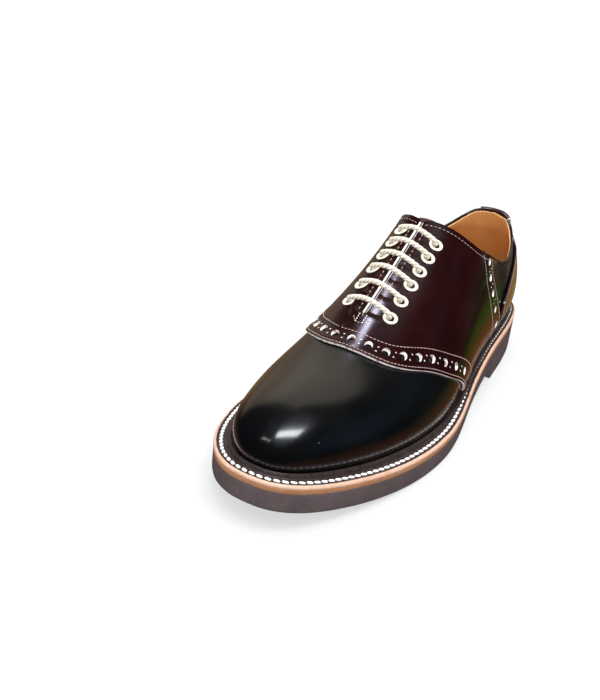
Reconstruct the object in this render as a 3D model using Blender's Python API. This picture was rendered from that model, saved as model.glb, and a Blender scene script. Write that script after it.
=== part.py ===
"""Left saddle shoe, empty, standing on its own sole. Metres, +Z up, toe to -Y, outer (lateral) side to +X.

Every piece is read from one set of named sizes: the sole outline, the last (the surface that the upper
follows) and the edges of the overlays are short tables whose lengths are shares of those sizes.
"""
import math

import bmesh
import bpy
import numpy as np
from mathutils import Matrix, Vector

MM = 0.001

# Named sizes
SOLE_LENGTH = 0.300
SOLE_WIDTH = 0.105
INSTEP = 0.100
TOPLINE_BACK = 0.425
OUTSOLE = 0.0103
MIDSOLE = 0.0020
WELT = 0.0019
GAP = 0.0003
LAY = 0.0005
HEEL = 0.0107
TOE_SPRING = 0.0112
BALL, BREAST, SHANK = 0.67, 0.26, 0.62
WALL = 0.0020
COVER = 0.0014
INSOLE = 0.0030
TONGUE = 0.0022
SLIT = 0.987
WELT_INNER = 0.0165
HOLE_RADIUS = 0.0025
CORD_RADIUS = 0.00145
WELT_TOP = OUTSOLE + MIDSOLE + WELT + 2 * GAP

# Sole edge. share: of the length from the heel's back; lateral, medial: half widths as shares of half SOLE_WIDTH
SOLE = np.array((
    (0.00, 0.686, 0.686), (0.10, 0.638, 0.686), (0.20, 0.674, 0.678), (0.32, 0.754, 0.615),
    (0.44, 0.857, 0.589), (0.56, 0.987, 0.724), (0.66, 1.015, 0.901), (0.74, 0.989, 0.990),
    (0.82, 0.939, 0.994), (0.92, 0.869, 0.960), (1.00, 0.848, 0.901)))
TOE_ROUND = (0.575, 2.36)
HEEL_ROUND = (0.79, 2.45)
TOE_LEAN = 0.0021

# Last, one row per section. along: share of the foot line; crest: height as a share of INSTEP; lateral, medial:
# fullness (smaller is squarer); bulge, offset of the crest, reach in from the sole edge, rib of the welt: in mm
LAST = np.array((
    (0.00, 1.004, 1.15, 1.15, 3.2, 0.0, 7.6, 4.6, 1.2),
    (0.11, 1.004, 1.14, 1.08, 3.2, 0.3, 7.6, 4.6, 1.2),
    (0.24, 1.010, 1.05, 0.90, 2.8, 0.6, 7.4, 4.5, 1.2),
    (0.36, 0.972, 0.90, 0.71, 2.3, 0.9, 7.2, 4.4, 1.2),
    (0.48, 0.834, 0.93, 0.77, 2.2, 0.7, 7.3, 4.5, 1.3),
    (0.60, 0.654, 0.95, 0.88, 2.3, 0.5, 8.4, 7.0, 2.2),
    (0.70, 0.507, 0.93, 1.00, 2.8, 0.9, 9.4, 8.3, 2.6),
    (0.80, 0.398, 0.88, 1.06, 3.3, 1.8, 9.8, 8.5, 2.6),
    (0.90, 0.364, 0.88, 1.04, 3.5, 2.0, 9.9, 8.5, 2.6),
    (1.00, 0.344, 0.92, 0.98, 3.5, 2.0, 9.9, 8.5, 2.6)))
TOE_DOME = (0.755, 2.29)
BULGE_HEIGHT = 0.047
FAN, FAN_SOFT = 0.115, 0.03

# Top edge of the upper. foot: column on the foot line; along, lateral, medial: where that column ends
TOP = np.array((
    (0.000, 0.000, 0.425, 0.425), (0.020, 0.020, 0.385, 0.415), (0.050, 0.050, 0.345, 0.385),
    (0.092, 0.095, 0.312, 0.348), (0.130, 0.140, 0.297, 0.325), (0.172, 0.188, 0.303, 0.320),
    (0.210, 0.232, 0.322, 0.331), (0.250, 0.280, 0.350, 0.358), (0.285, 0.320, 0.380, 0.393),
    (0.320, 0.355, 0.422, 0.438), (0.350, 0.384, 0.478, 0.496), (0.378, 0.408, 0.550, 0.570),
    (0.405, 0.428, 0.640, 0.655), (0.430, 0.442, 0.735, 0.745), (0.455, 0.452, 0.830, 0.835),
    (0.480, 0.459, 0.920, 0.920), (0.500, 0.466, SLIT, SLIT), (0.530, 0.495, SLIT, SLIT),
    (0.570, 0.540, SLIT, SLIT), (0.620, 0.603, SLIT, SLIT), (0.668, 0.668, SLIT, SLIT),
    (0.682, 0.682, 1.0, 1.0), (1.000, 1.000, 1.0, 1.0)))
THROAT = 0.668

# Saddle edges. up: way up the section as a share of that edge; rear, front: place along the foot line
SADDLE = np.array((
    (0.00, 0.205, 0.478), (0.16, 0.212, 0.556), (0.25, 0.224, 0.600), (0.32, 0.236, 0.629),
    (0.40, 0.250, 0.660), (0.50, 0.265, 0.697), (0.60, 0.277, 0.723), (0.73, 0.290, 0.740),
    (0.87, 0.301, 0.745), (1.00, 0.308, 0.745)))
SADDLE_FOOT_TOP = 0.2745

# Backstay edge. up: way up the section; along: place on the foot line, the same on both sides
BACKSTAY = np.array((
    (0.000, 0.196), (0.045, 0.203), (0.085, 0.208), (0.125, 0.205), (0.160, 0.190), (0.212, 0.150),
    (0.260, 0.100), (0.300, 0.052), (0.340, 0.022), (0.380, 0.011), (0.425, 0.009)))

# Eyelets from the top. lateral, medial: place on the foot line; up_l, up_m: way up the section
EYELETS = np.array((
    (0.495, 0.491, 0.823, 0.868), (0.524, 0.518, 0.826, 0.856), (0.554, 0.546, 0.829, 0.846),
    (0.585, 0.576, 0.831, 0.837), (0.621, 0.612, 0.831, 0.830), (0.660, 0.651, 0.827, 0.825)))


def spline(rows, column):
    """Natural cubic through one column of a table against its first column."""
    x, y = rows[:, 0], rows[:, column]
    n, h = len(x), np.diff(x)
    a, b = np.eye(n), np.zeros(n)
    for i in range(1, n - 1):
        a[i, i - 1:i + 2] = h[i - 1], 2 * (h[i - 1] + h[i]), h[i]
        b[i] = 6 * ((y[i + 1] - y[i]) / h[i] - (y[i] - y[i - 1]) / h[i - 1])
    m = np.linalg.solve(a, b)

    def at(t):
        t = np.clip(np.asarray(t, float), x[0], x[-1])
        i = np.clip(np.searchsorted(x, t) - 1, 0, n - 2)
        w, p, q = h[i], x[i + 1] - t, t - x[i]
        return ((m[i] * p ** 3 + m[i + 1] * q ** 3) / (6 * w)
                + (y[i] / w - m[i] * w / 6) * p + (y[i + 1] / w - m[i + 1] * w / 6) * q)
    return at


def straight(rows, column):
    return lambda t: np.interp(t, rows[:, 0], rows[:, column])


def rounding(share, start, power):
    k = np.clip((share - start) / (1 - start), 0, 1)
    return np.clip(1 - k ** power, 0, 1) ** (1 / power)


LATERAL, MEDIAL = spline(SOLE, 1), spline(SOLE, 2)
CREST, FULL_L, FULL_M, BULGE, OFFSET, REACH, RIB_IN, RIB_UP = (spline(LAST, i) for i in range(1, 9))


def half_widths(share):
    ends = rounding(share, *TOE_ROUND) * rounding(1 - share, *HEEL_ROUND) * SOLE_WIDTH / 2
    lean = TOE_LEAN * np.clip((share - 0.6) / 0.4, 0, 1) ** 2
    return lean + LATERAL(share) * ends, lean - MEDIAL(share) * ends


def middle():
    lateral, medial = half_widths(np.linspace(0, 1, 2001))
    return (lateral.max() + medial.min()) / 2


MIDDLE = middle()


def outline(share, side):
    """Sole edge seen from above: points and outward normals."""
    def edge(s):
        lateral, medial = half_widths(s)
        return np.stack([np.where(side > 0, lateral, medial) - MIDDLE, SOLE_LENGTH * (0.5 - s)], -1)
    a = np.arccos(np.clip(2 * share - 1, -1, 1))
    before, after = np.clip(a - 1e-4, 0, math.pi), np.clip(a + 1e-4, 0, math.pi)
    t = edge((1 + np.cos(after)) / 2) - edge((1 + np.cos(before)) / 2)
    t /= np.linalg.norm(t, axis=-1, keepdims=True) + 1e-12
    normal = np.stack([t[..., 1], -t[..., 0]], -1) * np.where(side > 0, 1, -1)[..., None]
    ends = (share < 1e-6) | (share > 1 - 1e-6)
    tips = np.stack([0 * share, np.where(share > 0.5, -1.0, 1.0)], -1)
    return edge(share), np.where(ends[..., None], tips, normal)


def underside(share):
    """Height of the outsole's underside: flat under the ball, raised at the toe and over the heel."""
    k = np.clip((share - BALL) / (1 - BALL), 0, 1)
    h = np.clip((SHANK - share) / (SHANK - BREAST), 0, 1)
    return TOE_SPRING * k ** 1.9 + HEEL * h * h * (3 - 2 * h)


def foot_line(share, side):
    """Where the upper stands on the welt: points, outward normals, heights."""
    point, normal = outline(share, side)
    foot = point - normal * (REACH(share) * MM)[..., None]
    return foot, normal, underside(0.5 - foot[..., 1] / SOLE_LENGTH) + WELT_TOP + GAP


HEEL_Y, TOE_Y = (foot_line(np.array([end]), np.array([1.0]))[0][0, 1] for end in (0.0, 1.0))
SHARES = (1 + np.cos(np.linspace(math.pi, 0, 6001))) / 2
ALONG = {side: (HEEL_Y - foot_line(SHARES, np.full(6001, float(side)))[0][:, 1]) / (HEEL_Y - TOE_Y)
         for side in (1, -1)}


def last(along, side, up):
    """Outer surface of the upper. along: 0 at the heel to 1 at the toe, side: +1 lateral or -1 medial,
    up: 0 at the welt to 1 on the crest."""
    along, side, up = np.broadcast_arrays(*(np.asarray(v, float) for v in (along, side, up)))
    along = np.clip(along, 0, 1)
    share = np.where(side > 0, np.interp(along, ALONG[1], SHARES), np.interp(along, ALONG[-1], SHARES))
    foot, normal, base = foot_line(share, side)
    place = 0.5 - foot[..., 1] / SOLE_LENGTH
    fan = FAN + FAN_SOFT * np.log1p(np.exp((place - FAN) / FAN_SOFT))
    target = SOLE_LENGTH * (0.5 - np.where(place > 0.4, place, fan))
    high = CREST(along) * INSTEP * rounding(along, *TOE_DOME)
    full = np.where(side > 0, FULL_L(along), FULL_M(along))
    angle = np.clip(up, 0, 1) * math.pi / 2
    out = np.clip(np.cos(angle), 0, 1) ** full
    rise = np.clip(np.sin(angle), 0, 1) ** full * high
    crest = OFFSET(along) * MM - MIDDLE
    swell = BULGE(along) * MM * np.sin(math.pi * np.clip(rise / BULGE_HEIGHT, 0, 1) ** 0.75)
    ahead = swell * (1 - rounding(along, 0.88, 2.0))
    swell = (swell - ahead) * out
    x = crest + (foot[..., 0] - crest) * out + normal[..., 0] * swell
    y = target + (foot[..., 1] - target) * out + normal[..., 1] * swell - ahead
    return np.stack([x, y, base + rise], -1)


def normal_at(along, side, up):
    """Outward unit normal of the last at one place."""
    a = last(along + 1e-3, side, up) - last(along - 1e-3, side, up)
    b = last(along, side, min(up + 1e-3, 0.9995)) - last(along, side, up - 1e-3)
    n = Vector(np.cross(a, b) * -side).normalized()
    return n


def even(n):
    """Shares that crowd towards both ends, as the outline curves there."""
    return (1 - np.cos(np.linspace(0, math.pi, n + 1))) / 2


def finish(name, bm, colour, rough, metallic=0.0):
    bmesh.ops.recalc_face_normals(bm, faces=bm.faces)
    if sum(f.calc_area() * f.normal.dot(f.calc_center_median() - Vector((0, 0, 0.03))) for f in bm.faces) < 0 \
            and bm.calc_volume(signed=True) < 0:
        bmesh.ops.reverse_faces(bm, faces=bm.faces)
    mesh = bpy.data.meshes.new(name)
    bm.to_mesh(mesh)
    bm.free()
    obj = bpy.data.objects.new(name, mesh)
    bpy.context.scene.collection.objects.link(obj)
    material = bpy.data.materials.new(name)
    material.use_nodes = True
    shader = material.node_tree.nodes["Principled BSDF"]
    shader.inputs["Base Color"].default_value = (*colour, 1)
    shader.inputs["Roughness"].default_value = rough
    shader.inputs["Metallic"].default_value = metallic
    mesh.materials.append(material)
    return obj


def loop(inset, height, n=33):
    """Closed ring round the shoe, inset from the sole edge and standing above the underside.
    inset and height take a share; it runs down the lateral side from the toe and back up the medial side."""
    share = even(n)[::-1]
    rows = []
    for side in (1.0, -1.0):
        point, normal = outline(share, np.full(n + 1, side))
        flat = point - normal * (inset(share) + 0 * share)[:, None]
        rows.append(np.c_[flat, underside(0.5 - flat[:, 1] / SOLE_LENGTH) + height(share)])
    return np.r_[rows[0], rows[1][-2:0:-1]]


def constant(value):
    return lambda share: value + 0 * share


def add_rings(bm, rings, closed=False):
    made = [[bm.verts.new(p) for p in ring] for ring in rings]
    pairs = list(zip(made, made[1:])) + ([(made[-1], made[0])] if closed else [])
    for low, high in pairs:
        for i in range(len(low)):
            j = (i + 1) % len(low)
            bm.faces.new((low[i], low[j], high[j], high[i]))
    return made


def cap(bm, ring):
    """Ladder of faces across a ring, lateral side to medial side."""
    n = len(ring) // 2
    for i in range(n):
        a, b, c, d = ring[i], ring[i + 1], ring[-i - 1] if i else ring[-1], ring[-i] if i else ring[0]
        bm.faces.new((a, b, c) if i == 0 else ((a, b, d) if i == n - 1 else (a, b, c, d)))


def plate(name, steps, colour, rough):
    """Solid of stacked rings with a cap at each end."""
    bm = bmesh.new()
    made = add_rings(bm, [loop(inset, height) for inset, height in steps])
    cap(bm, made[0])
    cap(bm, made[-1])
    return finish(name, bm, colour, rough)


def outsole():
    return plate("outsole", (
        (constant(1.4 * MM), constant(0.0)), (constant(0.5 * MM), constant(1.0 * MM)),
        (constant(0.2 * MM), constant(OUTSOLE - 0.8 * MM)), (constant(0.5 * MM), constant(OUTSOLE))),
        (0.115, 0.080, 0.072), 0.75)


def midsole():
    low = OUTSOLE + GAP
    return plate("midsole", (
        (constant(0.5 * MM), constant(low)), (constant(0.1 * MM), constant(low + MIDSOLE / 2)),
        (constant(0.2 * MM), constant(low + MIDSOLE))), (0.62, 0.33, 0.14), 0.45)


def welt():
    """Flat ring under the upper's foot, with the rib that stands against it."""
    low = OUTSOLE + MIDSOLE + 2 * GAP
    foot, top = (lambda s: (RIB_IN(s) - 1.5) * MM), (lambda s: (RIB_IN(s) - 0.8) * MM)
    rib = lambda s: WELT_TOP + RIB_UP(s) * MM
    bm = bmesh.new()
    add_rings(bm, [loop(inset, height) for inset, height in (
        (constant(0.2 * MM), constant(low)), (constant(0.0), constant(low + 1.0 * MM)),
        (constant(1.1 * MM), constant(WELT_TOP)), (foot, constant(WELT_TOP)), (top, rib),
        (lambda s: RIB_IN(s) * MM, rib), (lambda s: (RIB_IN(s) + 0.5) * MM, constant(WELT_TOP)),
        (constant(WELT_INNER), constant(WELT_TOP)), (constant(WELT_INNER), constant(low)))], closed=True)
    return finish("welt", bm, (0.075, 0.040, 0.034), 0.4)


def insole():
    edge = lambda s: REACH(s) * MM + WALL + 0.6 * MM
    low, step = OUTSOLE + MIDSOLE + 2 * GAP, WELT_TOP + GAP
    return plate("insole", (
        (constant(WELT_INNER + 1.0 * MM), constant(low)), (constant(WELT_INNER + 1.0 * MM), constant(step)),
        (edge, constant(step)), (edge, constant(step + INSOLE))), (0.30, 0.155, 0.062), 0.6)


def heel():
    """Block under the rear of the outsole, its front face slightly hollow."""
    share = BREAST * (1 - np.cos(np.linspace(0, math.pi / 2, 15)))
    front = SOLE_LENGTH * (0.5 - BREAST)

    def ring(inset, z):
        sides = []
        for side in (1.0, -1.0):
            point, normal = outline(share, np.full(15, side))
            sides.append(point - normal * inset)
        lateral, medial = sides[0][::-1], sides[1]
        across = np.linspace(medial[-1], lateral[0], 9)[1:-1]
        across[:, 1] = front + 2.5 * MM * np.sin(np.linspace(0, math.pi, 9)[1:-1])
        flat = np.r_[lateral, medial[1:], across]
        return np.c_[flat, np.full(len(flat), z)]
    bm = bmesh.new()
    made = add_rings(bm, [ring(1.4 * MM, 0.0), ring(0.5 * MM, 1.0 * MM), ring(0.2 * MM, HEEL - GAP)])
    bm.faces.new(made[0])
    bm.faces.new(made[-1])
    return finish("heel", bm, (0.115, 0.080, 0.072), 0.75)


def sheet(bm, rows):
    """Quads over a grid of points."""
    made = [[bm.verts.new(p) for p in row] for row in rows]
    for low, high in zip(made, made[1:]):
        for i in range(len(low) - 1):
            bm.faces.new((low[i], low[i + 1], high[i + 1], high[i]))


def shell(bm, near, far):
    """Turns an open surface into a solid between two distances along its outward normals."""
    bmesh.ops.remove_doubles(bm, verts=bm.verts, dist=0.02 * MM)
    bmesh.ops.dissolve_degenerate(bm, edges=bm.edges, dist=0.01 * MM)
    bmesh.ops.recalc_face_normals(bm, faces=bm.faces)
    bm.normal_update()
    side = sum(f.normal.dot(f.calc_center_median() - Vector((0, f.calc_center_median().y, 0.02))) * f.calc_area()
               for f in bm.faces)
    if side < 0:
        bmesh.ops.reverse_faces(bm, faces=bm.faces)
    bm.normal_update()
    faces, verts = list(bm.faces), list(bm.verts)
    rim = [e for e in bm.edges if e.is_boundary]
    normals = {}
    for v in verts:
        n = v.normal.copy()
        if v.co.z - underside(0.5 - v.co.y / SOLE_LENGTH) - WELT_TOP < 0.45 * MM:
            n.z = 0.0
        normals[v] = n.normalized()
    twin = {v: bm.verts.new(v.co + normals[v] * near) for v in verts}
    for v in verts:
        v.co += normals[v] * far
    for face in faces:
        bm.faces.new([twin[v] for v in reversed(face.verts)])
    for edge in rim:
        a, b = edge.verts
        start = edge.link_loops[0].vert
        if start is a:
            a, b = b, a
        bm.faces.new((a, b, twin[b], twin[a]))


def rising(n):
    """Rows of a section, closer together near the welt where it swells."""
    return (np.linspace(0, 1, n) ** 1.35)[:, None]


def top_of(foot, side):
    column = 2 if side > 0 else 3
    return straight(TOP, 1)(foot), straight(TOP, column)(foot)


def columns():
    """Places on the foot line for the upper's sections, with one at every row of TOP."""
    wanted = [*TOP[:, 0]]
    for value in [*even(26), 0.9985]:
        if min(abs(value - w) for w in wanted) > 0.009 or value in (0.0, 1.0):
            wanted.append(value)
    for value in (0.0030, 0.9930, 0.9800):
        if min(abs(value - w) for w in wanted) > 0.001:
            wanted.append(value)
    return np.unique(np.round(wanted, 5))


def drill(objects):
    """Round holes for the eyelets through every object given."""
    bm = bmesh.new()
    for centre, normal in eyelet_places(0.0):
        turn = normal.to_track_quat("Z", "Y").to_matrix().to_4x4()
        bmesh.ops.create_cone(bm, cap_ends=True, segments=10, radius1=HOLE_RADIUS, radius2=HOLE_RADIUS,
                              depth=12 * MM, matrix=Matrix.Translation(centre) @ turn)
    mesh = bpy.data.meshes.new("cutter")
    bm.to_mesh(mesh)
    bm.free()
    cutter = bpy.data.objects.new("cutter", mesh)
    bpy.context.scene.collection.objects.link(cutter)
    cutter.hide_render = True
    for obj in objects:
        modifier = obj.modifiers.new("holes", "BOOLEAN")
        modifier.operation = "DIFFERENCE"
        modifier.solver = "EXACT"
        modifier.object = cutter


def eyelet_places(lift):
    found = []
    for row in EYELETS:
        for side, along, up in ((1.0, row[0], row[2]), (-1.0, row[1], row[3])):
            normal = normal_at(along, side, up)
            found.append((Vector(last(along, side, up)) + normal * lift, normal))
    return found


def upper():
    """Hollow wall from the welt to the topline, open at the collar, along the throat and underneath."""
    bm = bmesh.new()
    foot = columns()
    for side in (1.0, -1.0):
        along, up = top_of(foot, side)
        share = rising(12)
        sheet(bm, last(foot + (along - foot) * share, side, up * share))
    shell(bm, -WALL, 0.0)
    return finish("upper", bm, (0.010, 0.010, 0.012), 0.2)


def saddle():
    """Overlay across the instep: two wings that join in front of the throat."""
    bm = bmesh.new()
    place = np.unique(np.r_[np.linspace(0, 1, 15), (THROAT - SADDLE_FOOT_TOP) / (0.745 - SADDLE_FOOT_TOP),
                            (TOP[14:17, 0] - SADDLE_FOOT_TOP) / (0.745 - SADDLE_FOOT_TOP)])
    share = rising(12)
    rear, front = spline(SADDLE, 1)(share), spline(SADDLE, 2)(share)
    foot = SADDLE_FOOT_TOP + (0.745 - SADDLE_FOOT_TOP) * place
    foot[-1] = 0.745
    for side in (1.0, -1.0):
        along, up = top_of(foot, side)
        wide = rear + (front - rear) * place
        wide = wide + (along - wide[-1]) * share ** 2
        sheet(bm, last(wide, side, up * share))
    shell(bm, LAY, LAY + COVER)
    return finish("saddle", bm, (0.045, 0.010, 0.012), 0.2)


def backstay():
    """Overlay up the back of the heel, flared towards the saddle low down."""
    bm = bmesh.new()
    up = np.array((0.0, 0.022, 0.055, 0.095, 0.135, 0.175, 0.212, 0.248, 0.280, 0.310, 0.340, 0.380, TOPLINE_BACK))[:, None]
    edge = straight(BACKSTAY, 1)(up)
    reach = np.array((0.0, 0.012, 0.06, 0.14, 0.26, 0.42, 0.60, 0.80, 1.0))
    for side in (1.0, -1.0):
        top = np.minimum(up, straight(TOP, 2 if side > 0 else 3)(edge * reach))
        sheet(bm, last(edge * reach, side, top))
    shell(bm, LAY, LAY + COVER)
    return finish("backstay", bm, (0.045, 0.010, 0.012), 0.2)


def tongue():
    """Curved plate behind the throat, its top edge standing a little above the facings."""
    bm = bmesh.new()
    along = np.linspace(0.447, 0.715, 11)[:, None]
    round_off = 0.012 * np.linspace(1, 0, 6) ** 3
    for side in (1.0, -1.0):
        up = np.linspace(0.76, 1.0, 6)
        fade = np.clip((0.475 - along) / 0.03, 0, 1)
        sheet(bm, last(along + round_off * fade, side, up + 0 * along))
    shell(bm, -WALL - LAY - TONGUE, -WALL - LAY)
    return finish("tongue", bm, (0.055, 0.018, 0.016), 0.35)


def eyelets():
    """Rings with a short barrel down the hole."""
    profile = ((1.80, -2.4), (2.15, -2.4), (2.15, 0.3), (3.80, 0.3), (3.45, 1.15), (2.2, 1.15))
    lift = LAY + COVER
    for i, (centre, normal) in enumerate(eyelet_places(lift)):
        turn = normal.to_track_quat("Z", "Y").to_matrix()
        bm = bmesh.new()
        rings = []
        for r, z in profile:
            angle = np.linspace(0, 2 * math.pi, 9)[:-1]
            rings.append([centre + turn @ Vector((r * MM * math.cos(a), r * MM * math.sin(a), z * MM)) for a in angle])
        add_rings(bm, rings, closed=True)
        finish(f"eyelet_{'lateral' if i % 2 == 0 else 'medial'}_{i // 2 + 1}", bm, (0.78, 0.74, 0.62), 0.35)


def tube(points, radius, sides=6):
    """Round bar along a path, closed at both ends."""
    bm = bmesh.new()
    path = [Vector(p) for p in points]
    across = None
    rings = []
    for i, p in enumerate(path):
        ahead = (path[min(i + 1, len(path) - 1)] - path[max(i - 1, 0)]).normalized()
        across = ahead.orthogonal() if across is None else across - ahead * across.dot(ahead)
        across.normalize()
        other = ahead.cross(across)
        rings.append([p + radius * (across * math.cos(a) + other * math.sin(a))
                      for a in np.linspace(0, 2 * math.pi, sides + 1)[:-1]])
    made = add_rings(bm, rings)
    bm.faces.new(made[0])
    bm.faces.new(made[-1])
    return bm


def lace_bars():
    """Six straight bars, each arching from one eyelet to the one opposite and ending in the barrels."""
    places = eyelet_places(LAY + COVER)
    for i in range(len(EYELETS)):
        (a, na), (b, nb) = places[2 * i], places[2 * i + 1]
        mid = (a + b) / 2
        rise = (na + nb).normalized()
        stations = [a - na * 1.8 * MM, a + na * 1.2 * MM, a + na * 3.6 * MM + (mid - a) * 0.10,
                    mid + (a - mid) * 0.42 + rise * 6.6 * MM, mid + rise * 7.5 * MM,
                    mid + (b - mid) * 0.42 + rise * 6.6 * MM, b + nb * 3.6 * MM + (mid - b) * 0.10,
                    b + nb * 1.2 * MM, b - nb * 1.8 * MM]
        rows = np.array([(k / 8, *p) for k, p in enumerate(stations)])
        t = np.linspace(0, 1, 12)
        finish(f"lace_bar_{i + 1}", tube(np.stack([spline(rows, c)(t) for c in (1, 2, 3)], -1), CORD_RADIUS),
               (0.80, 0.72, 0.55), 0.6)


def build():
    for obj in list(bpy.data.objects):
        bpy.data.objects.remove(obj)
    outsole()
    heel()
    midsole()
    welt()
    insole()
    drill([upper(), saddle()])
    backstay()
    tongue()
    eyelets()
    lace_bars()


build()
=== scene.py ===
"""Looks of the left saddle shoe: leathers, broguing, stitches, laces, welt and rubber over the fixed frame.

Metres, +Z up, toe to -Y, outer (lateral) side to +X. The shoe's own surface is a table of sections, and
every leather piece, seam and hole is placed on it by its share of the foot line and its way up the section.
"""
import math

import bmesh
import bpy
import numpy as np
from mathutils import Matrix, Vector


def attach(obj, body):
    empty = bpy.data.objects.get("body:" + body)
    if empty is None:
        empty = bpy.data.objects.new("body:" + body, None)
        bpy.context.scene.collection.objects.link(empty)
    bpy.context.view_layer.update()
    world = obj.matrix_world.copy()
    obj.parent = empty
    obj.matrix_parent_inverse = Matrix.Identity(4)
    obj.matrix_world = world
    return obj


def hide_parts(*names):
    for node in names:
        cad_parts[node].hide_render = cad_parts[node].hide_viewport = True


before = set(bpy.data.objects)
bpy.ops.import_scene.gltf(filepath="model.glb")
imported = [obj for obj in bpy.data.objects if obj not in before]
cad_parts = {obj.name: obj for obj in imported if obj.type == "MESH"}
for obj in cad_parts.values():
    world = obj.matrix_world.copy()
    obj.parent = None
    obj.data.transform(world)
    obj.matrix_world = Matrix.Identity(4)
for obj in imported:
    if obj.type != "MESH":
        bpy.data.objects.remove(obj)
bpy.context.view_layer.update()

MM = 0.001
SOLE_LENGTH, SOLE_WIDTH, INSTEP, TOPLINE_BACK = 0.300, 0.105, 0.100, 0.425
OUTSOLE, MIDSOLE, WELT, GAP, LAY = 0.0103, 0.0020, 0.0019, 0.0003, 0.0005
HEEL, TOE_SPRING = 0.0107, 0.0112
BALL, BREAST, SHANK = 0.67, 0.26, 0.62
WALL, COVER, INSOLE, TONGUE = 0.0020, 0.0014, 0.0030, 0.0022
SLIT, WELT_INNER = 0.987, 0.0165
WELT_TOP = OUTSOLE + MIDSOLE + WELT + 2 * GAP

# Sole edge. share: of the length from the heel's back; lateral, medial: half widths as shares of half the
# SOLE_WIDTH
SOLE = np.array((
    (0.00, 0.686, 0.686), (0.10, 0.638, 0.686), (0.20, 0.674, 0.678), (0.32, 0.754, 0.615),
    (0.44, 0.857, 0.589), (0.56, 0.987, 0.724), (0.66, 1.015, 0.901), (0.74, 0.989, 0.990),
    (0.82, 0.939, 0.994), (0.92, 0.869, 0.960), (1.00, 0.848, 0.901)))
TOE_ROUND, HEEL_ROUND, TOE_LEAN = (0.575, 2.36), (0.79, 2.45), 0.0021

# Last, one row per section. along: share of the foot line; crest: height as a share of INSTEP; lateral and
# medial fullness (smaller is squarer); in mm: bulge, offset of the crest, reach in from the sole edge, and
# the welt's rib, its way in and its height
LAST = np.array((
    (0.00, 1.004, 1.15, 1.15, 3.2, 0.0, 7.6, 4.6, 1.2),
    (0.11, 1.004, 1.14, 1.08, 3.2, 0.3, 7.6, 4.6, 1.2),
    (0.24, 1.010, 1.05, 0.90, 2.8, 0.6, 7.4, 4.5, 1.2),
    (0.36, 0.972, 0.90, 0.71, 2.3, 0.9, 7.2, 4.4, 1.2),
    (0.48, 0.834, 0.93, 0.77, 2.2, 0.7, 7.3, 4.5, 1.3),
    (0.60, 0.654, 0.95, 0.88, 2.3, 0.5, 8.4, 7.0, 2.2),
    (0.70, 0.507, 0.93, 1.00, 2.8, 0.9, 9.4, 8.3, 2.6),
    (0.80, 0.398, 0.88, 1.06, 3.3, 1.8, 9.8, 8.5, 2.6),
    (0.90, 0.364, 0.88, 1.04, 3.5, 2.0, 9.9, 8.5, 2.6),
    (1.00, 0.344, 0.92, 0.98, 3.5, 2.0, 9.9, 8.5, 2.6)))
TOE_DOME, BULGE_HEIGHT, FAN, FAN_SOFT = (0.755, 2.29), 0.047, 0.115, 0.03

# Top edge of the upper. foot: column on the foot line; along, lateral, medial: where that column ends
TOP = np.array((
    (0.000, 0.000, 0.425, 0.425), (0.020, 0.020, 0.385, 0.415), (0.050, 0.050, 0.345, 0.385),
    (0.092, 0.095, 0.312, 0.348), (0.130, 0.140, 0.297, 0.325), (0.172, 0.188, 0.303, 0.320),
    (0.210, 0.232, 0.322, 0.331), (0.250, 0.280, 0.350, 0.358), (0.285, 0.320, 0.380, 0.393),
    (0.320, 0.355, 0.422, 0.438), (0.350, 0.384, 0.478, 0.496), (0.378, 0.408, 0.550, 0.570),
    (0.405, 0.428, 0.640, 0.655), (0.430, 0.442, 0.735, 0.745), (0.455, 0.452, 0.830, 0.835),
    (0.480, 0.459, 0.920, 0.920), (0.500, 0.466, SLIT, SLIT), (0.530, 0.495, SLIT, SLIT),
    (0.570, 0.540, SLIT, SLIT), (0.620, 0.603, SLIT, SLIT), (0.668, 0.668, SLIT, SLIT),
    (0.682, 0.682, 1.0, 1.0), (1.000, 1.000, 1.0, 1.0)))

# Saddle edges. up: way up the section as a share of that edge; rear, front: place along the foot line
SADDLE = np.array((
    (0.00, 0.205, 0.478), (0.16, 0.212, 0.556), (0.25, 0.224, 0.600), (0.32, 0.236, 0.629),
    (0.40, 0.250, 0.660), (0.50, 0.265, 0.697), (0.60, 0.277, 0.723), (0.73, 0.290, 0.740),
    (0.87, 0.301, 0.745), (1.00, 0.308, 0.745)))

# Backstay edge. up: way up the section; along: place on the foot line, the same on both sides
BACKSTAY = np.array((
    (0.000, 0.196), (0.045, 0.203), (0.085, 0.208), (0.125, 0.205), (0.160, 0.190), (0.212, 0.150),
    (0.260, 0.100), (0.300, 0.052), (0.340, 0.022), (0.380, 0.011), (0.425, 0.009)))

# Eyelets from the top. lateral, medial: place on the foot line; up_l, up_m: way up the section
EYELETS = np.array((
    (0.495, 0.491, 0.823, 0.868), (0.524, 0.518, 0.826, 0.856), (0.554, 0.546, 0.829, 0.846),
    (0.585, 0.576, 0.831, 0.837), (0.621, 0.612, 0.831, 0.830), (0.660, 0.651, 0.827, 0.825)))


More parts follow.
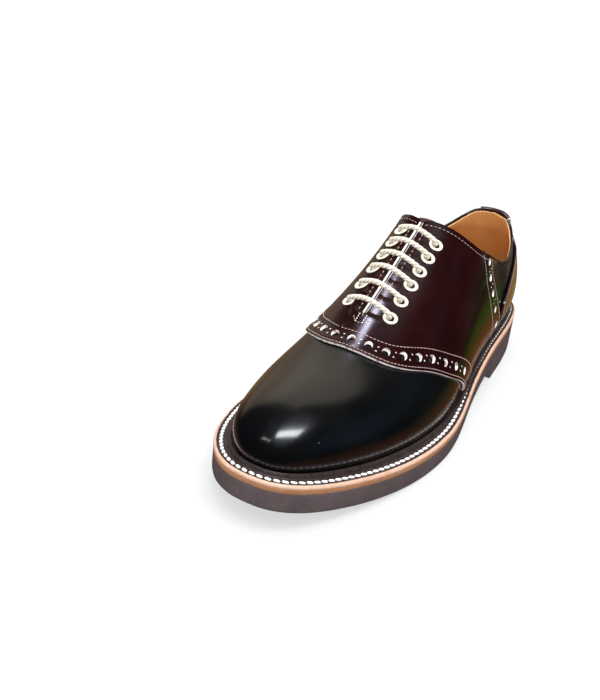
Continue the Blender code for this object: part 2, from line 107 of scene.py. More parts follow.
def spline(rows, column):
    """Natural cubic through one column of a table against its first column."""
    x, y = rows[:, 0], rows[:, column]
    n, h = len(x), np.diff(x)
    a, b = np.eye(n), np.zeros(n)
    for i in range(1, n - 1):
        a[i, i - 1:i + 2] = h[i - 1], 2 * (h[i - 1] + h[i]), h[i]
        b[i] = 6 * ((y[i + 1] - y[i]) / h[i] - (y[i] - y[i - 1]) / h[i - 1])
    m = np.linalg.solve(a, b)

    def at(t):
        t = np.clip(np.asarray(t, float), x[0], x[-1])
        i = np.clip(np.searchsorted(x, t) - 1, 0, n - 2)
        w, p, q = h[i], x[i + 1] - t, t - x[i]
        return ((m[i] * p ** 3 + m[i + 1] * q ** 3) / (6 * w)
                + (y[i] / w - m[i] * w / 6) * p + (y[i + 1] / w - m[i + 1] * w / 6) * q)
    return at


def flowing(rows, column):
    """Smooth curve through one column that never swings past its points."""
    x, y = rows[:, 0], rows[:, column]
    h = np.diff(x)
    d = np.diff(y) / h
    m = np.r_[d[0], np.where(d[1:] * d[:-1] > 0, 2 * d[1:] * d[:-1] / (d[1:] + d[:-1] + 1e-12), 0), d[-1]]

    def at(t):
        t = np.clip(np.asarray(t, float), x[0], x[-1])
        i = np.clip(np.searchsorted(x, t) - 1, 0, len(x) - 2)
        k, w = (t - x[i]) / h[i], h[i]
        return ((2 * k ** 3 - 3 * k ** 2 + 1) * y[i] + (k ** 3 - 2 * k ** 2 + k) * w * m[i]
                + (3 * k ** 2 - 2 * k ** 3) * y[i + 1] + (k ** 3 - k ** 2) * w * m[i + 1])
    return at


def rounding(share, start, power):
    """1 up to start, then down to 0 at the end as a rounded corner."""
    k = np.clip((share - start) / (1 - start), 0, 1)
    return np.clip(1 - k ** power, 0, 1) ** (1 / power)


LATERAL, MEDIAL = spline(SOLE, 1), spline(SOLE, 2)
CREST, FULL_L, FULL_M, BULGE, OFFSET, REACH, RIB_IN, RIB_UP = (spline(LAST, i) for i in range(1, 9))


def half_widths(share):
    """Lateral and medial edge of the sole at a share of its length, before it is centred."""
    ends = rounding(share, *TOE_ROUND) * rounding(1 - share, *HEEL_ROUND) * SOLE_WIDTH / 2
    lean = TOE_LEAN * np.clip((share - 0.6) / 0.4, 0, 1) ** 2
    return lean + LATERAL(share) * ends, lean - MEDIAL(share) * ends


def middle():
    lateral, medial = half_widths(np.linspace(0, 1, 2001))
    return (lateral.max() + medial.min()) / 2


MIDDLE = middle()


def outline(share, side):
    """Sole edge seen from above: points and outward normals."""
    def edge(s):
        lateral, medial = half_widths(s)
        return np.stack([np.where(side > 0, lateral, medial) - MIDDLE, SOLE_LENGTH * (0.5 - s)], -1)
    a = np.arccos(np.clip(2 * share - 1, -1, 1))
    before, after = np.clip(a - 1e-4, 0, math.pi), np.clip(a + 1e-4, 0, math.pi)
    t = edge((1 + np.cos(after)) / 2) - edge((1 + np.cos(before)) / 2)
    t /= np.linalg.norm(t, axis=-1, keepdims=True) + 1e-12
    normal = np.stack([t[..., 1], -t[..., 0]], -1) * np.where(side > 0, 1, -1)[..., None]
    ends = (share < 1e-6) | (share > 1 - 1e-6)
    tips = np.stack([0 * share, np.where(share > 0.5, -1.0, 1.0)], -1)
    return edge(share), np.where(ends[..., None], tips, normal)


def underside(share):
    """Height of the outsole's underside over the ground: toe spring in front, heel block behind."""
    k = np.clip((share - BALL) / (1 - BALL), 0, 1)
    h = np.clip((SHANK - share) / (SHANK - BREAST), 0, 1)
    return TOE_SPRING * k ** 1.9 + HEEL * h * h * (3 - 2 * h)


def foot_line(share, side):
    """Where the upper stands on the welt: points, outward normals and heights."""
    point, normal = outline(share, side)
    foot = point - normal * (REACH(share) * MM)[..., None]
    return foot, normal, underside(0.5 - foot[..., 1] / SOLE_LENGTH) + WELT_TOP + GAP


HEEL_Y, TOE_Y = (foot_line(np.array([end]), np.array([1.0]))[0][0, 1] for end in (0.0, 1.0))
SHARES = (1 + np.cos(np.linspace(math.pi, 0, 6001))) / 2
ALONG = {side: (HEEL_Y - foot_line(SHARES, np.full(6001, float(side)))[0][:, 1]) / (HEEL_Y - TOE_Y)
         for side in (1, -1)}


def last(along, side, up):
    """Outer surface of the upper. along: 0 at the heel to 1 at the toe, side: +1 lateral or -1 medial,
    up: 0 at the welt to 1 on the crest."""
    along, side, up = np.broadcast_arrays(*(np.asarray(v, float) for v in (along, side, up)))
    along = np.clip(along, 0, 1)
    share = np.where(side > 0, np.interp(along, ALONG[1], SHARES), np.interp(along, ALONG[-1], SHARES))
    foot, normal, base = foot_line(share, side)
    place = 0.5 - foot[..., 1] / SOLE_LENGTH
    fan = FAN + FAN_SOFT * np.log1p(np.exp((place - FAN) / FAN_SOFT))
    target = SOLE_LENGTH * (0.5 - np.where(place > 0.4, place, fan))
    high = CREST(along) * INSTEP * rounding(along, *TOE_DOME)
    full = np.where(side > 0, FULL_L(along), FULL_M(along))
    angle = np.clip(up, 0, 1) * math.pi / 2
    out = np.clip(np.cos(angle), 0, 1) ** full
    rise = np.clip(np.sin(angle), 0, 1) ** full * high
    crest = OFFSET(along) * MM - MIDDLE
    swell = BULGE(along) * MM * np.sin(math.pi * np.clip(rise / BULGE_HEIGHT, 0, 1) ** 0.75)
    ahead = swell * (1 - rounding(along, 0.88, 2.0))
    swell = (swell - ahead) * out
    x = crest + (foot[..., 0] - crest) * out + normal[..., 0] * swell
    y = target + (foot[..., 1] - target) * out + normal[..., 1] * swell - ahead
    return np.stack([x, y, base + rise], -1)


# The surface as a close grid, smoothed over the crest, so that every piece reads the same skin
N_ALONG, N_ACROSS = 801, 601


def unit(v):
    return v / (np.linalg.norm(v, axis=-1, keepdims=True) + 1e-15)


def travelled(points):
    """Distance along a line from its first point to each of its points."""
    return np.r_[0, np.cumsum(np.linalg.norm(np.diff(points, axis=0), axis=1))]


def read_line(points, far, at):
    """A line's points, or other triples, at some distances along it."""
    return np.stack([np.interp(at, far, points[:, k]) for k in range(3)], -1)


def make_skin():
    """Points and unit normals of the whole surface, heel to toe and medial welt to lateral welt."""
    along = ((1 - np.cos(np.linspace(0, math.pi, N_ALONG))) / 2)[:, None]
    across = np.linspace(-1, 1, N_ACROSS)[None, :]
    points = last(along, np.where(across >= 0, 1.0, -1.0), 1 - np.abs(across))
    near = np.clip(1 - np.abs(across) / 0.10, 0, 1)[..., None] ** 0.5
    for _ in range(160):
        soft = points.copy()
        soft[:, 1:-1] = (points[:, :-2] + 2 * points[:, 1:-1] + points[:, 2:]) / 4
        points = points + (soft - points) * near
    normals = np.cross(np.gradient(points, axis=0), np.gradient(points, axis=1))
    normals[0], normals[-1] = normals[1], normals[-2]
    normals[:, 0], normals[:, -1] = normals[:, 1], normals[:, -2]
    return points, unit(normals)


SKIN, FACING = make_skin()
if FACING[N_ALONG // 2, N_ACROSS // 2, 2] < 0:
    FACING = -FACING


def skin(along, across, lift=0.0):
    """Point of the shoe's surface. across: +1 at the lateral welt, 0 on the crest, -1 at the medial welt."""
    along, across = np.broadcast_arrays(np.asarray(along, float), np.asarray(across, float))
    i = np.arccos(np.clip(1 - 2 * along, -1, 1)) / math.pi * (N_ALONG - 1)
    j = (np.clip(across, -1, 1) + 1) / 2 * (N_ACROSS - 1)
    i0, j0 = np.clip(i.astype(int), 0, N_ALONG - 2), np.clip(j.astype(int), 0, N_ACROSS - 2)
    u, v = (i - i0)[..., None], (j - j0)[..., None]

    def read(g):
        return ((g[i0, j0] * (1 - u) + g[i0 + 1, j0] * u) * (1 - v)
                + (g[i0, j0 + 1] * (1 - u) + g[i0 + 1, j0 + 1] * u) * v)
    normal = read(FACING)
    low = np.clip((1 - np.abs(across)) / 0.03, 0, 1)[..., None]
    normal = unit(normal * np.concatenate([np.ones_like(low), np.ones_like(low), low], -1))
    return read(SKIN) + normal * np.asarray(lift, float)[..., None]


def normal_on(along, across):
    return unit(skin(along, across, 1e-3) - skin(along, across, 0.0))


def step_over(along, across, move):
    """Walks from places on the skin by small vectors, and returns the new places."""
    da, dc = 4e-4, 2e-3
    ea = (skin(along + da, across) - skin(along - da, across)) / (2 * da)
    ec = (skin(along, across + dc) - skin(along, across - dc)) / (2 * dc)
    g11, g12, g22 = (ea * ea).sum(-1), (ea * ec).sum(-1), (ec * ec).sum(-1)
    b1, b2 = (ea * move).sum(-1), (ec * move).sum(-1)
    det = g11 * g22 - g12 * g12 + 1e-15
    return (np.clip(along + (g22 * b1 - g12 * b2) / det, 0, 1),
            np.clip(across + (g11 * b2 - g12 * b1) / det, -1, 1))


def beside(along, across, far, towards, steps=12):
    """The line that runs at a distance from a line on the skin; towards is +1 or -1 along the foot."""
    for _ in range(steps):
        p = skin(along, across)
        tangent = unit(np.gradient(p, axis=0))
        inward = np.cross(normal_on(along, across), tangent)
        sign = np.sign((inward * np.array((0, -towards, 0.0))).sum(-1).mean())
        along, across = step_over(along, across, inward * sign * far / steps)
    return along, across


# Small tools for meshes

def put(verts, points):
    for v, p in zip(verts, points):
        v.co = p


def grid(bm, columns, rows):
    """A plain grid: its vertices and their two shares from 0 to 1."""
    made = bmesh.ops.create_grid(bm, x_segments=columns, y_segments=rows, size=0.5)["verts"]
    return made, np.array([v.co[:2] for v in made]) + 0.5


def number_of(share, count):
    """The column or row of a grid that a share stands for."""
    return np.rint(share * count).astype(int)


def side_grid(bm, columns, rows, side):
    """A grid for one side of the shoe, facing outward there."""
    before = set(bm.faces)
    made, flat = grid(bm, columns, rows)
    if side > 0:
        bmesh.ops.reverse_faces(bm, faces=[f for f in bm.faces if f not in before])
    return made, flat


def two_sides(columns, rows, place):
    """Both sides of the shoe as one sheet, joined where they meet."""
    bm = bmesh.new()
    for side in (1.0, -1.0):
        made, flat = side_grid(bm, columns, rows, side)
        put(made, place(flat[:, 0], flat[:, 1], side))
    return bm


def piece(name, bm, finish, close=2e-5, outward=False):
    """The object of a mesh, with one finish or a list of them, in the shoe's one body."""
    if close:
        bmesh.ops.remove_doubles(bm, verts=bm.verts, dist=close)
        bmesh.ops.dissolve_degenerate(bm, edges=bm.edges, dist=1e-6)
    if outward:
        bmesh.ops.recalc_face_normals(bm, faces=bm.faces)
    mesh = bpy.data.meshes.new(name)
    bm.to_mesh(mesh)
    bm.free()
    for poly in mesh.polygons:
        poly.use_smooth = True
    obj = bpy.data.objects.new(name, mesh)
    bpy.context.scene.collection.objects.link(obj)
    for material in (finish if isinstance(finish, list) else [finish]):
        mesh.materials.append(material)
    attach(obj, "root")
    return obj


def thicken(obj, depth, rim=0, bevel=0.0):
    """Gives a sheet its thickness inward; rim is the number of the finish on its edge."""
    wall = obj.modifiers.new("wall", "SOLIDIFY")
    wall.thickness, wall.offset, wall.material_offset_rim = depth, -1.0, rim
    if bevel:
        edge = obj.modifiers.new("edge", "BEVEL")
        edge.width, edge.segments, edge.limit_method, edge.angle_limit = bevel, 2, "ANGLE", math.radians(50)
    return obj


def even_walk(points, pitch):
    """Points, directions and distances at an even pitch along a line in space."""
    far = travelled(points)
    at = np.linspace(0, far[-1], max(2, int(round(far[-1] / pitch)) + 1))
    ahead = unit(read_line(points, far, at + 1e-4) - read_line(points, far, at - 1e-4))
    return read_line(points, far, at), ahead, at


def repeat(name, shape, places, finish):
    """One mesh from a small shape that stands at many places, each a 4 x 4 matrix."""
    mesh = bpy.data.meshes.new(name + "_one")
    shape.to_mesh(mesh)
    shape.free()
    co = np.array([v.co for v in mesh.vertices])
    bm = bmesh.new()
    for m in places:
        first = len(bm.verts)
        bm.from_mesh(mesh)
        bm.verts.ensure_lookup_table()
        put(bm.verts[first:], co @ m[:3, :3].T + m[:3, 3])
    bpy.data.meshes.remove(mesh)
    return piece(name, bm, finish, close=0)


def frame_at(p, forward, normal):
    """Matrices at some points with X forward and Z along the normal."""
    x = unit(forward)
    z = unit(normal - (normal * x).sum(-1, keepdims=True) * x)
    m = np.zeros((len(p), 4, 4))
    m[:, :3, 0], m[:, :3, 1], m[:, :3, 2] = x, np.cross(z, x), z
    m[:, :3, 3], m[:, 3, 3] = p, 1
    return m


def bead_shape(long, wide, high, round_u=8, round_v=5):
    """Small rounded stitch lying along X."""
    bm = bmesh.new()
    bmesh.ops.create_uvsphere(bm, u_segments=round_u, v_segments=round_v, radius=0.5)
    bmesh.ops.rotate(bm, verts=bm.verts, cent=(0, 0, 0), matrix=Matrix.Rotation(math.pi / 2, 3, "Y"))
    for v in bm.verts:
        k = abs(v.co.x) * 2
        v.co.x = math.copysign(min(0.5, 0.5 * k ** 0.6), v.co.x)
    bmesh.ops.scale(bm, verts=bm.verts, vec=(long, wide, high))
    return bm


def wrap(made, flat, path, radius):
    """Bends a grid round a path without a twist, and closes its ends on the path."""
    ahead = unit(np.gradient(path, axis=0))
    across = np.zeros_like(path)
    across[0] = unit(np.cross(ahead[0], (0.3, 0.1, 1.0)))
    for k in range(1, len(path)):
        across[k] = unit(across[k - 1] - ahead[k] * (across[k - 1] @ ahead[k]))
    other = np.cross(ahead, across)
    i = number_of(flat[:, 0], len(path) - 1)
    a = flat[:, 1] * 2 * math.pi
    r = np.where((i == 0) | (i == len(path) - 1), 0.0, radius)
    put(made, path[i] + across[i] * (r * np.cos(a))[:, None] + other[i] * (r * np.sin(a))[:, None])


def tube(name, path, radius, sides, finish):
    """Round bar along a path, closed at both ends."""
    bm = bmesh.new()
    made, flat = grid(bm, len(path) - 1, sides)
    wrap(made, flat, path, radius)
    piece(name, bm, finish, close=1e-6, outward=True)


def write_pattern(bm, verts, numbers):
    """Two numbers per vertex as a UV map, for the finishes that follow the piece's own form."""
    layer = bm.loops.layers.uv.new("Pattern")
    at = dict(zip(verts, numbers))
    for face in bm.faces:
        for loop in face.loops:
            loop[layer].uv = at[loop.vert]


# Shader tools

class Value:
    """A socket of a material, with Python's operators as Math nodes."""

    def __init__(self, tree, socket):
        self.tree, self.socket = tree, socket

    def _math(self, operation, *terms):
        node = self.tree.nodes.new("ShaderNodeMath")
        node.operation = operation
        for slot, term in zip(node.inputs, terms):
            feed(self.tree, slot, term)
        return Value(self.tree, node.outputs[0])

    def __add__(self, other):
        return self._math("ADD", self, other)

    def __sub__(self, other):
        return self._math("SUBTRACT", self, other)

    def __rsub__(self, other):
        return self._math("SUBTRACT", other, self)

    def __mul__(self, other):
        return self._math("MULTIPLY", self, other)

    __radd__, __rmul__ = __add__, __mul__

    def wave(self):
        return self._math("SINE", self)

    def between(self, low, high):
        """Smooth from 0 at low to 1 at high; low may be the larger of the two."""
        node = self.tree.nodes.new("ShaderNodeMapRange")
        node.interpolation_type = "SMOOTHSTEP"
        feed(self.tree, node.inputs["Value"], self)
        node.inputs["From Min"].default_value, node.inputs["From Max"].default_value = low, high
        return Value(self.tree, node.outputs["Result"])


def feed(tree, slot, term):
    """Links a value to a socket, or sets the socket to a number, colour or vector."""
    if isinstance(term, Value):
        tree.links.new(term.socket, slot)
    else:
        slot.default_value = (*term, 1) if slot.type == "RGBA" else term


def mix_colours(tree, a, b, factor):
    """Colour a where the factor is 0, b where it is 1; sockets 0, 6 and 7 are the factor and the colours."""
    node = tree.nodes.new("ShaderNodeMix")
    node.data_type = "RGBA"
    for slot, term in ((0, factor), (6, a), (7, b)):
        feed(tree, node.inputs[slot], term)
    return Value(tree, node.outputs[2])


class Finish:
    """One material, built on a Principled shader."""

    def __init__(self, name, **sockets):
        self.material = bpy.data.materials.new(name)
        self.material.use_nodes = True
        self.tree = self.material.node_tree
        self.shader = self.tree.nodes["Principled BSDF"]
        for key, value in sockets.items():
            self.set(key.replace("_", " "), value)

    def set(self, socket, value):
        feed(self.tree, self.shader.inputs[socket], value)

    def node(self, kind, out=0, settings=(), **links):
        """Any other node: its settings by name, its inputs by name, and the output that is read."""
        made = self.tree.nodes.new(kind)
        for key, value in dict(settings).items():
            setattr(made, key, value)
        for key, value in links.items():
            feed(self.tree, made.inputs[key.replace("_", " ")], value)
        return Value(self.tree, made.outputs[out])

    def place(self):
        return self.node("ShaderNodeTexCoord", "Object")

    def pattern(self):
        return self.node("ShaderNodeUVMap", "UV", {"uv_map": "Pattern"})

    def parts(self, vector):
        node = self.tree.nodes.new("ShaderNodeSeparateXYZ")
        feed(self.tree, node.inputs[0], vector)
        return [Value(self.tree, out) for out in node.outputs]

    def stretched(self, vector, scale):
        return self.node("ShaderNodeMapping", Vector=vector, Scale=scale)

    def noise(self, scale, detail=3.0, rough=0.5, at=None):
        return self.node("ShaderNodeTexNoise", "Fac", Vector=at or self.place(), Scale=scale, Detail=detail,
                         Roughness=rough)

    def cells(self, scale):
        return self.node("ShaderNodeTexVoronoi", "Distance", Vector=self.place(), Scale=scale)

    def mark(self, name):
        return self.node("ShaderNodeAttribute", "Fac", {"attribute_name": name})

    def mix(self, a, b, factor):
        return mix_colours(self.tree, a, b, factor)

    def bump(self, height, strength, distance):
        self.set("Normal", self.node("ShaderNodeBump", "Normal", Height=height, Strength=strength,
                                     Distance=distance))


def polished(name, deep, worn, rough, grain=0.18, dust=0.35, lean=0.0):
    """Smooth polished leather: faint pores, slow cloudiness in the wax, a few dust specks.

    lean tilts the shading towards the heel, which moves what the piece reflects.
    """
    f = Finish(name, Specular_IOR_Level=0.5, Coat_Weight=0.35, Coat_Roughness=0.11, Coat_IOR=1.45)
    cloud, ripple = f.noise(38, 4, 0.55), f.noise(520, 2, 0.5)
    fine = f.noise(2600, 2, 0.6)
    pores = f.cells(1500)
    specks = f.cells(150).between(0.055, 0.02) * f.noise(60, 1).between(0.60, 0.70) * dust
    colour = f.mix(deep, worn, cloud.between(0.35, 0.75))
    f.set("Base Color", f.mix(colour, (0.55, 0.5, 0.45), specks))
    f.set("Roughness", cloud * 0.10 + fine * 0.05 + (rough - 0.07))
    relief = (fine * 0.35 + pores * 0.15 + cloud * 0.6 + ripple * 0.55) * (grain * 0.00005)
    if lean:
        relief = relief + f.parts(f.place())[1] * -lean
    f.bump(relief, 1.0, 1.0)
    return f.material


def suede_edge(name, colour, dark, bright):
    """Cut leather edge; bright stands in for the light that fibres pass on inside narrow cuts."""
    f = Finish(name, Emission_Strength=bright)
    fibres = f.noise(3200, 3, 0.7)
    shade = f.mix(dark, colour, fibres.between(0.30, 0.55) * f.noise(520, 2, 0.5).between(0.34, 0.50))
    f.set("Base Color", shade)
    f.set("Emission Color", shade)
    f.set("Roughness", fibres * 0.2 + 0.65)
    f.bump(fibres, 0.6, 0.0002)
    return f.material


def tan_lining():
    """Smooth lining leather, with painted shade: darker low down inside the shoe."""
    f = Finish("tan_lining", Specular_IOR_Level=0.35)
    cloud, pores, fine = f.noise(30, 4, 0.6), f.cells(900), f.noise(1500, 3, 0.6)
    # Painted shade: the lining darkens towards the bottom, where shade falls inside the shoe.
    deep = f.parts(f.place())[2].between(0.075, 0.035)
    colour = f.mix((0.66, 0.31, 0.095), (0.50, 0.215, 0.062), cloud.between(0.3, 0.7))
    colour = f.mix(colour, (0.27, 0.105, 0.032), deep * 0.6)
    colour = f.mix(colour, (0.10, 0.035, 0.012), f.cells(170).between(0.07, 0.03) * 0.5)
    f.set("Base Color", colour)
    f.set("Roughness", fine * 0.12 + 0.42)
    f.bump(pores * 0.5 + fine, 0.25, 0.0001)
    return f.material


def rubber():
    """Brown-grey rubber with fine moulded lines along its side."""
    f = Finish("sole_rubber", Specular_IOR_Level=0.3)
    cloud, fine, pits = f.noise(45, 4, 0.6), f.noise(1800, 3, 0.65), f.cells(600)
    height = f.parts(f.place())[2]
    dust = f.noise(420, 3, 0.7).between(0.52, 0.72)
    colour = f.mix((0.070, 0.050, 0.052), (0.092, 0.067, 0.070), cloud.between(0.3, 0.7))
    f.set("Base Color", f.mix(colour, (0.14, 0.110, 0.110), dust * 0.35))
    f.set("Roughness", fine * 0.2 + 0.55)
    f.bump(fine + pits * 0.4 + (height * 5200).wave() * 0.08, 0.35, 0.00018)
    return f.material


def welt_finish():
    """Dark stained top, pale bevel at the edge. The pattern's second number is mm over the profile."""
    f = Finish("welt_leather", Specular_IOR_Level=0.4)
    over = f.parts(f.pattern())[1]
    fibres, grain = f.noise(1400, 4, 0.7), f.noise(300, 3, 0.6)
    wobble = over + (grain - 0.5) * 0.9
    pale = f.mix((0.44, 0.235, 0.150), (0.60, 0.395, 0.300), fibres.between(0.30, 0.55))
    pale = f.mix(pale, (0.40, 0.16, 0.06), f.noise(70, 4, 0.6).between(0.50, 0.72) * 0.55)
    dark = f.mix((0.018, 0.010, 0.010), (0.038, 0.022, 0.020), grain.between(0.35, 0.7))
    f.set("Base Color", f.mix(pale, dark, wobble.between(2.75, 3.05)))
    f.set("Roughness", fibres * 0.2 + 0.38)
    f.bump(fibres + grain, 0.35, 0.00015)
    return f.material


def midsole_finish():
    """Cut edge of a tan leather layer, streaked along its length."""
    f = Finish("midsole_leather", Specular_IOR_Level=0.4)
    streak = f.noise(1.0, 4, 0.65, f.stretched(f.place(), (90, 90, 4200)))
    fibres = f.noise(1500, 3, 0.7)
    colour = f.mix((0.27, 0.110, 0.046), (0.42, 0.205, 0.100), streak.between(0.35, 0.65))
    colour = f.mix(colour, (0.26, 0.085, 0.025), f.noise(55, 4, 0.6).between(0.48, 0.70) * 0.6)
    f.set("Base Color", f.mix(colour, (0.30, 0.12, 0.05), fibres.between(0.55, 0.75) * 0.5))
    f.set("Roughness", fibres * 0.2 + 0.35)
    f.bump(streak + fibres * 0.5, 0.3, 0.00015)
    return f.material


def thread(name, colour, dark):
    f = Finish(name, Specular_IOR_Level=0.3)
    twist = f.noise(2200, 2, 0.6)
    f.set("Base Color", f.mix(dark, colour, twist.between(0.32, 0.52)))
    f.set("Roughness", twist * 0.2 + 0.55)
    f.bump(twist, 0.5, 0.00015)
    return f.material


def lace_finish():
    """Waxed cotton: strands run slantwise both ways, with painted shade, warm brown, in the valleys between
    them.
    """
    f = Finish("lace_cotton", Specular_IOR_Level=0.35)
    far, turn, _ = f.parts(f.pattern())
    strands = (far * 2600 + turn * 60).wave() * 0.5 + 0.5
    fine = f.noise(2500, 3, 0.6)
    valley_shade = f.mark("valley_shade")
    colour = f.mix((0.64, 0.585, 0.49), (0.78, 0.735, 0.65), fine.between(0.3, 0.7))
    # Painted shade: the lace darkens to warm brown in the valleys between its strands.
    f.set("Base Color", f.mix(colour, (0.30, 0.22, 0.14), valley_shade.between(0.20, 0.60) * 0.60))
    f.set("Roughness", fine * 0.2 + 0.5)
    f.bump(strands * 0.5 + fine, 0.45, 0.00015)
    return f.material


def enamel():
    f = Finish("eyelet_enamel", Specular_IOR_Level=0.5, Coat_Weight=0.3, Coat_Roughness=0.15)
    cloud = f.noise(500, 3, 0.6)
    f.set("Base Color", f.mix((0.70, 0.65, 0.52), (0.84, 0.80, 0.68), cloud.between(0.3, 0.7)))
    f.set("Roughness", cloud * 0.15 + 0.28)
    f.bump(cloud, 0.12, 0.0001)
    return f.material


BLACK = polished("black_leather", (0.0012, 0.0015, 0.0019), (0.0030, 0.0032, 0.0036), 0.21)
BURGUNDY = polished("burgundy_leather", (0.0090, 0.0007, 0.0008), (0.0165, 0.0016, 0.0017), 0.21, dust=0.50)
BACKSTAY_LEATHER = polished("backstay_burgundy", (0.0110, 0.0010, 0.0010), (0.0200, 0.0030, 0.0024), 0.21,
                            dust=0.4, lean=0.07)
TONGUE_LEATHER = polished("tongue_leather", (0.040, 0.012, 0.010), (0.060, 0.020, 0.016), 0.40, grain=0.5,
                          dust=0.1)
RAW_EDGE = suede_edge("raw_edge", (0.92, 0.88, 0.86), (0.30, 0.20, 0.19), 0.16)
DARK_EDGE = suede_edge("dark_edge", (0.055, 0.025, 0.024), (0.020, 0.010, 0.010), 0.0)
PALE_EDGE = suede_edge("pale_edge", (0.74, 0.42, 0.22), (0.50, 0.24, 0.11), 0.05)
LINING = tan_lining()
RUBBER = rubber()
WELT_LEATHER = welt_finish()
MIDSOLE_LEATHER = midsole_finish()
PINK_THREAD = thread("pink_thread", (0.50, 0.37, 0.35), (0.24, 0.14, 0.13))
WHITE_THREAD = thread("white_thread", (0.93, 0.91, 0.89), (0.62, 0.55, 0.52))
DARK_THREAD = thread("dark_thread", (0.042, 0.039, 0.038), (0.014, 0.013, 0.013))
LACE = lace_finish()
ENAMEL = enamel()

TOP_ALONG, TOP_LATERAL, TOP_MEDIAL = (flowing(TOP, k) for k in (1, 2, 3))
COLLAR_LATERAL, COLLAR_MEDIAL = (flowing(TOP[:16, 1:], k) for k in (1, 2))
SIDES = ((1.0, "lateral"), (-1.0, "medial"))
# Lift of the overlays' faces over the skin, lift of the stitches on them, and the overlays' own thickness
FACE = LAY + COVER
STITCHED = FACE + 0.02 * MM
SHEET = COVER - 0.1 * MM


def top_of(foot, side):
    """Where a column of the upper ends: place on the foot line and way up the section."""
    return TOP_ALONG(foot), (TOP_LATERAL if side > 0 else TOP_MEDIAL)(foot)


def topline(along, side):
    """Way up the section of the collar's edge at a place on the foot line."""
    return (COLLAR_LATERAL if side > 0 else COLLAR_MEDIAL)(along)


# Upper: black leather over the whole shoe, tan lining inside it

def black_upper():
    def place(u, v, side):
        foot = (1 - np.cos(u * math.pi)) / 2 * 0.5 + u * 0.5
        foot = np.where(u > 0.5, (1 - np.cos(u * math.pi)) / 2 * (2 * u - 1) + foot * (2 - 2 * u), foot)
        along, up = top_of(foot, side)
        v = v ** 1.25
        return skin(foot + (along - foot) * v, side * (1 - up * v), -0.1 * MM)
    obj = piece("black_upper", two_sides(230, 84, place), [BLACK, DARK_EDGE])
    thicken(obj, 1.0 * MM, rim=1)
    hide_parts("upper")


def lining():
    def place(u, v, side):
        foot = u * 0.9
        along, up = top_of(foot, side)
        sink = 0.004 * v
        return skin(foot + (along - foot) * v, side * (1 - (up - sink) * v), -1.15 * MM)
    obj = piece("lining", two_sides(150, 44, place), [LINING, PALE_EDGE])
    thicken(obj, 0.85 * MM, rim=1, bevel=0.3 * MM)


# Saddle: two wings with a punched band along the front edge and another down the rear edge

FRONT, REAR = spline(SADDLE, 2), spline(SADDLE, 1)
FRONT_BAND, REAR_BAND, FRONT_HOLES = 13.0 * MM, 15.0 * MM, 6.5 * MM
# Large holes of the front band: mm along its middle line from the lateral welt, wider apart where it turns
# down at both ends
FRONT_PITCH = (27.5, 42.0, 54.0, 64.7, 74.2, 83.7, 93.1, 102.3, 111.6, 121.2, 130.6, 140.1, 149.6, 159.1,
               168.6, 178.1, 188.0, 199.0, 212.0)
# Shares of the foot line: the front edge runs forward on the crest and back on the medial side, the rear edge
# forward at its top
CREST_FORWARD, MEDIAL_BACK, REAR_FORWARD = 0.007, 0.012, 0.012
# Large holes of the rear bands: place on the foot line, way up the section
REAR_PLACES = ((0.342, 0.371), (0.331, 0.292), (0.317, 0.221), (0.294, 0.147), (0.254, 0.070))
PUNCH_LOW, PUNCH_HIGH, PIN_ROW, PIN_APART = 2.10 * MM, 2.20 * MM, 1.45 * MM, 1.6 * MM
# Place on the foot line where the collar's edge turns into the throat
THROAT_TOP = 0.4695


def spaced(along, across, n):
    """The same line with its points evenly far apart on the skin."""
    far = travelled(skin(along, across))
    at = np.linspace(0, far[-1], n)
    return np.interp(at, far, along), np.interp(at, far, across)


def front_raw(far, side):
    """Line behind the front edge on one side: its shares, places and ways up, from the welt to the crest."""
    s = np.linspace(0, 1, 240)
    medial = np.clip((0.9 - s) / 0.3, 0, 1)
    back = MEDIAL_BACK * medial ** 2 * (3 - 2 * medial) if side < 0 else 0.0
    along = FRONT(s) + CREST_FORWARD * np.exp(-((1 - s) / 0.25) ** 2) - back
    across = side * (1 - s)
    if far:
        along, across = beside(along, across, far, -1)
    up = 1 - np.abs(across)
    up = up - up[0] * np.clip(1 - s / 0.3, 0, 1) ** 2
    return s, along, up + (1 - up[-1]) * np.clip(s / 0.2 - 4, 0, 1) ** 2


def front_line(n, side, far=0.0):
    """Line that runs at a distance behind the saddle's front edge, from the welt to the crest."""
    s, along, up = front_raw(far, side)
    meet = (along[-1] + front_raw(far, -side)[1][-1]) / 2
    along = along + (meet - along[-1]) * np.clip(s / 0.2 - 4, 0, 1) ** 2
    return spaced(along, side * (1 - up), n)


def rear_line(n, side, far=0.0):
    """Line that runs at a distance before the saddle's rear edge, from the welt to the topline."""
    s = np.linspace(0, 1.4, 336)
    slope = (REAR(1.0) - REAR(0.96)) / 0.04
    along = np.where(s < 1, REAR(s), REAR(1.0) + slope * (s - 1)) + REAR_FORWARD * np.clip(s / 0.6, 0, 1)
    across = side * (1 - s * topline(REAR(1.0), side))
    if far:
        along, across = beside(along, across, far, 1)
    up = 1 - np.abs(across)
    first = max(0, np.argmax(up > 0.002) - 1)
    end = np.argmax(up > topline(along, side)) or len(up) - 1
    along, up = along[first:end + 1], up[first:end + 1]
    up[0], up[-1] = 0.0, topline(along[-1], side)
    return spaced(along, side * (1 - up), n)


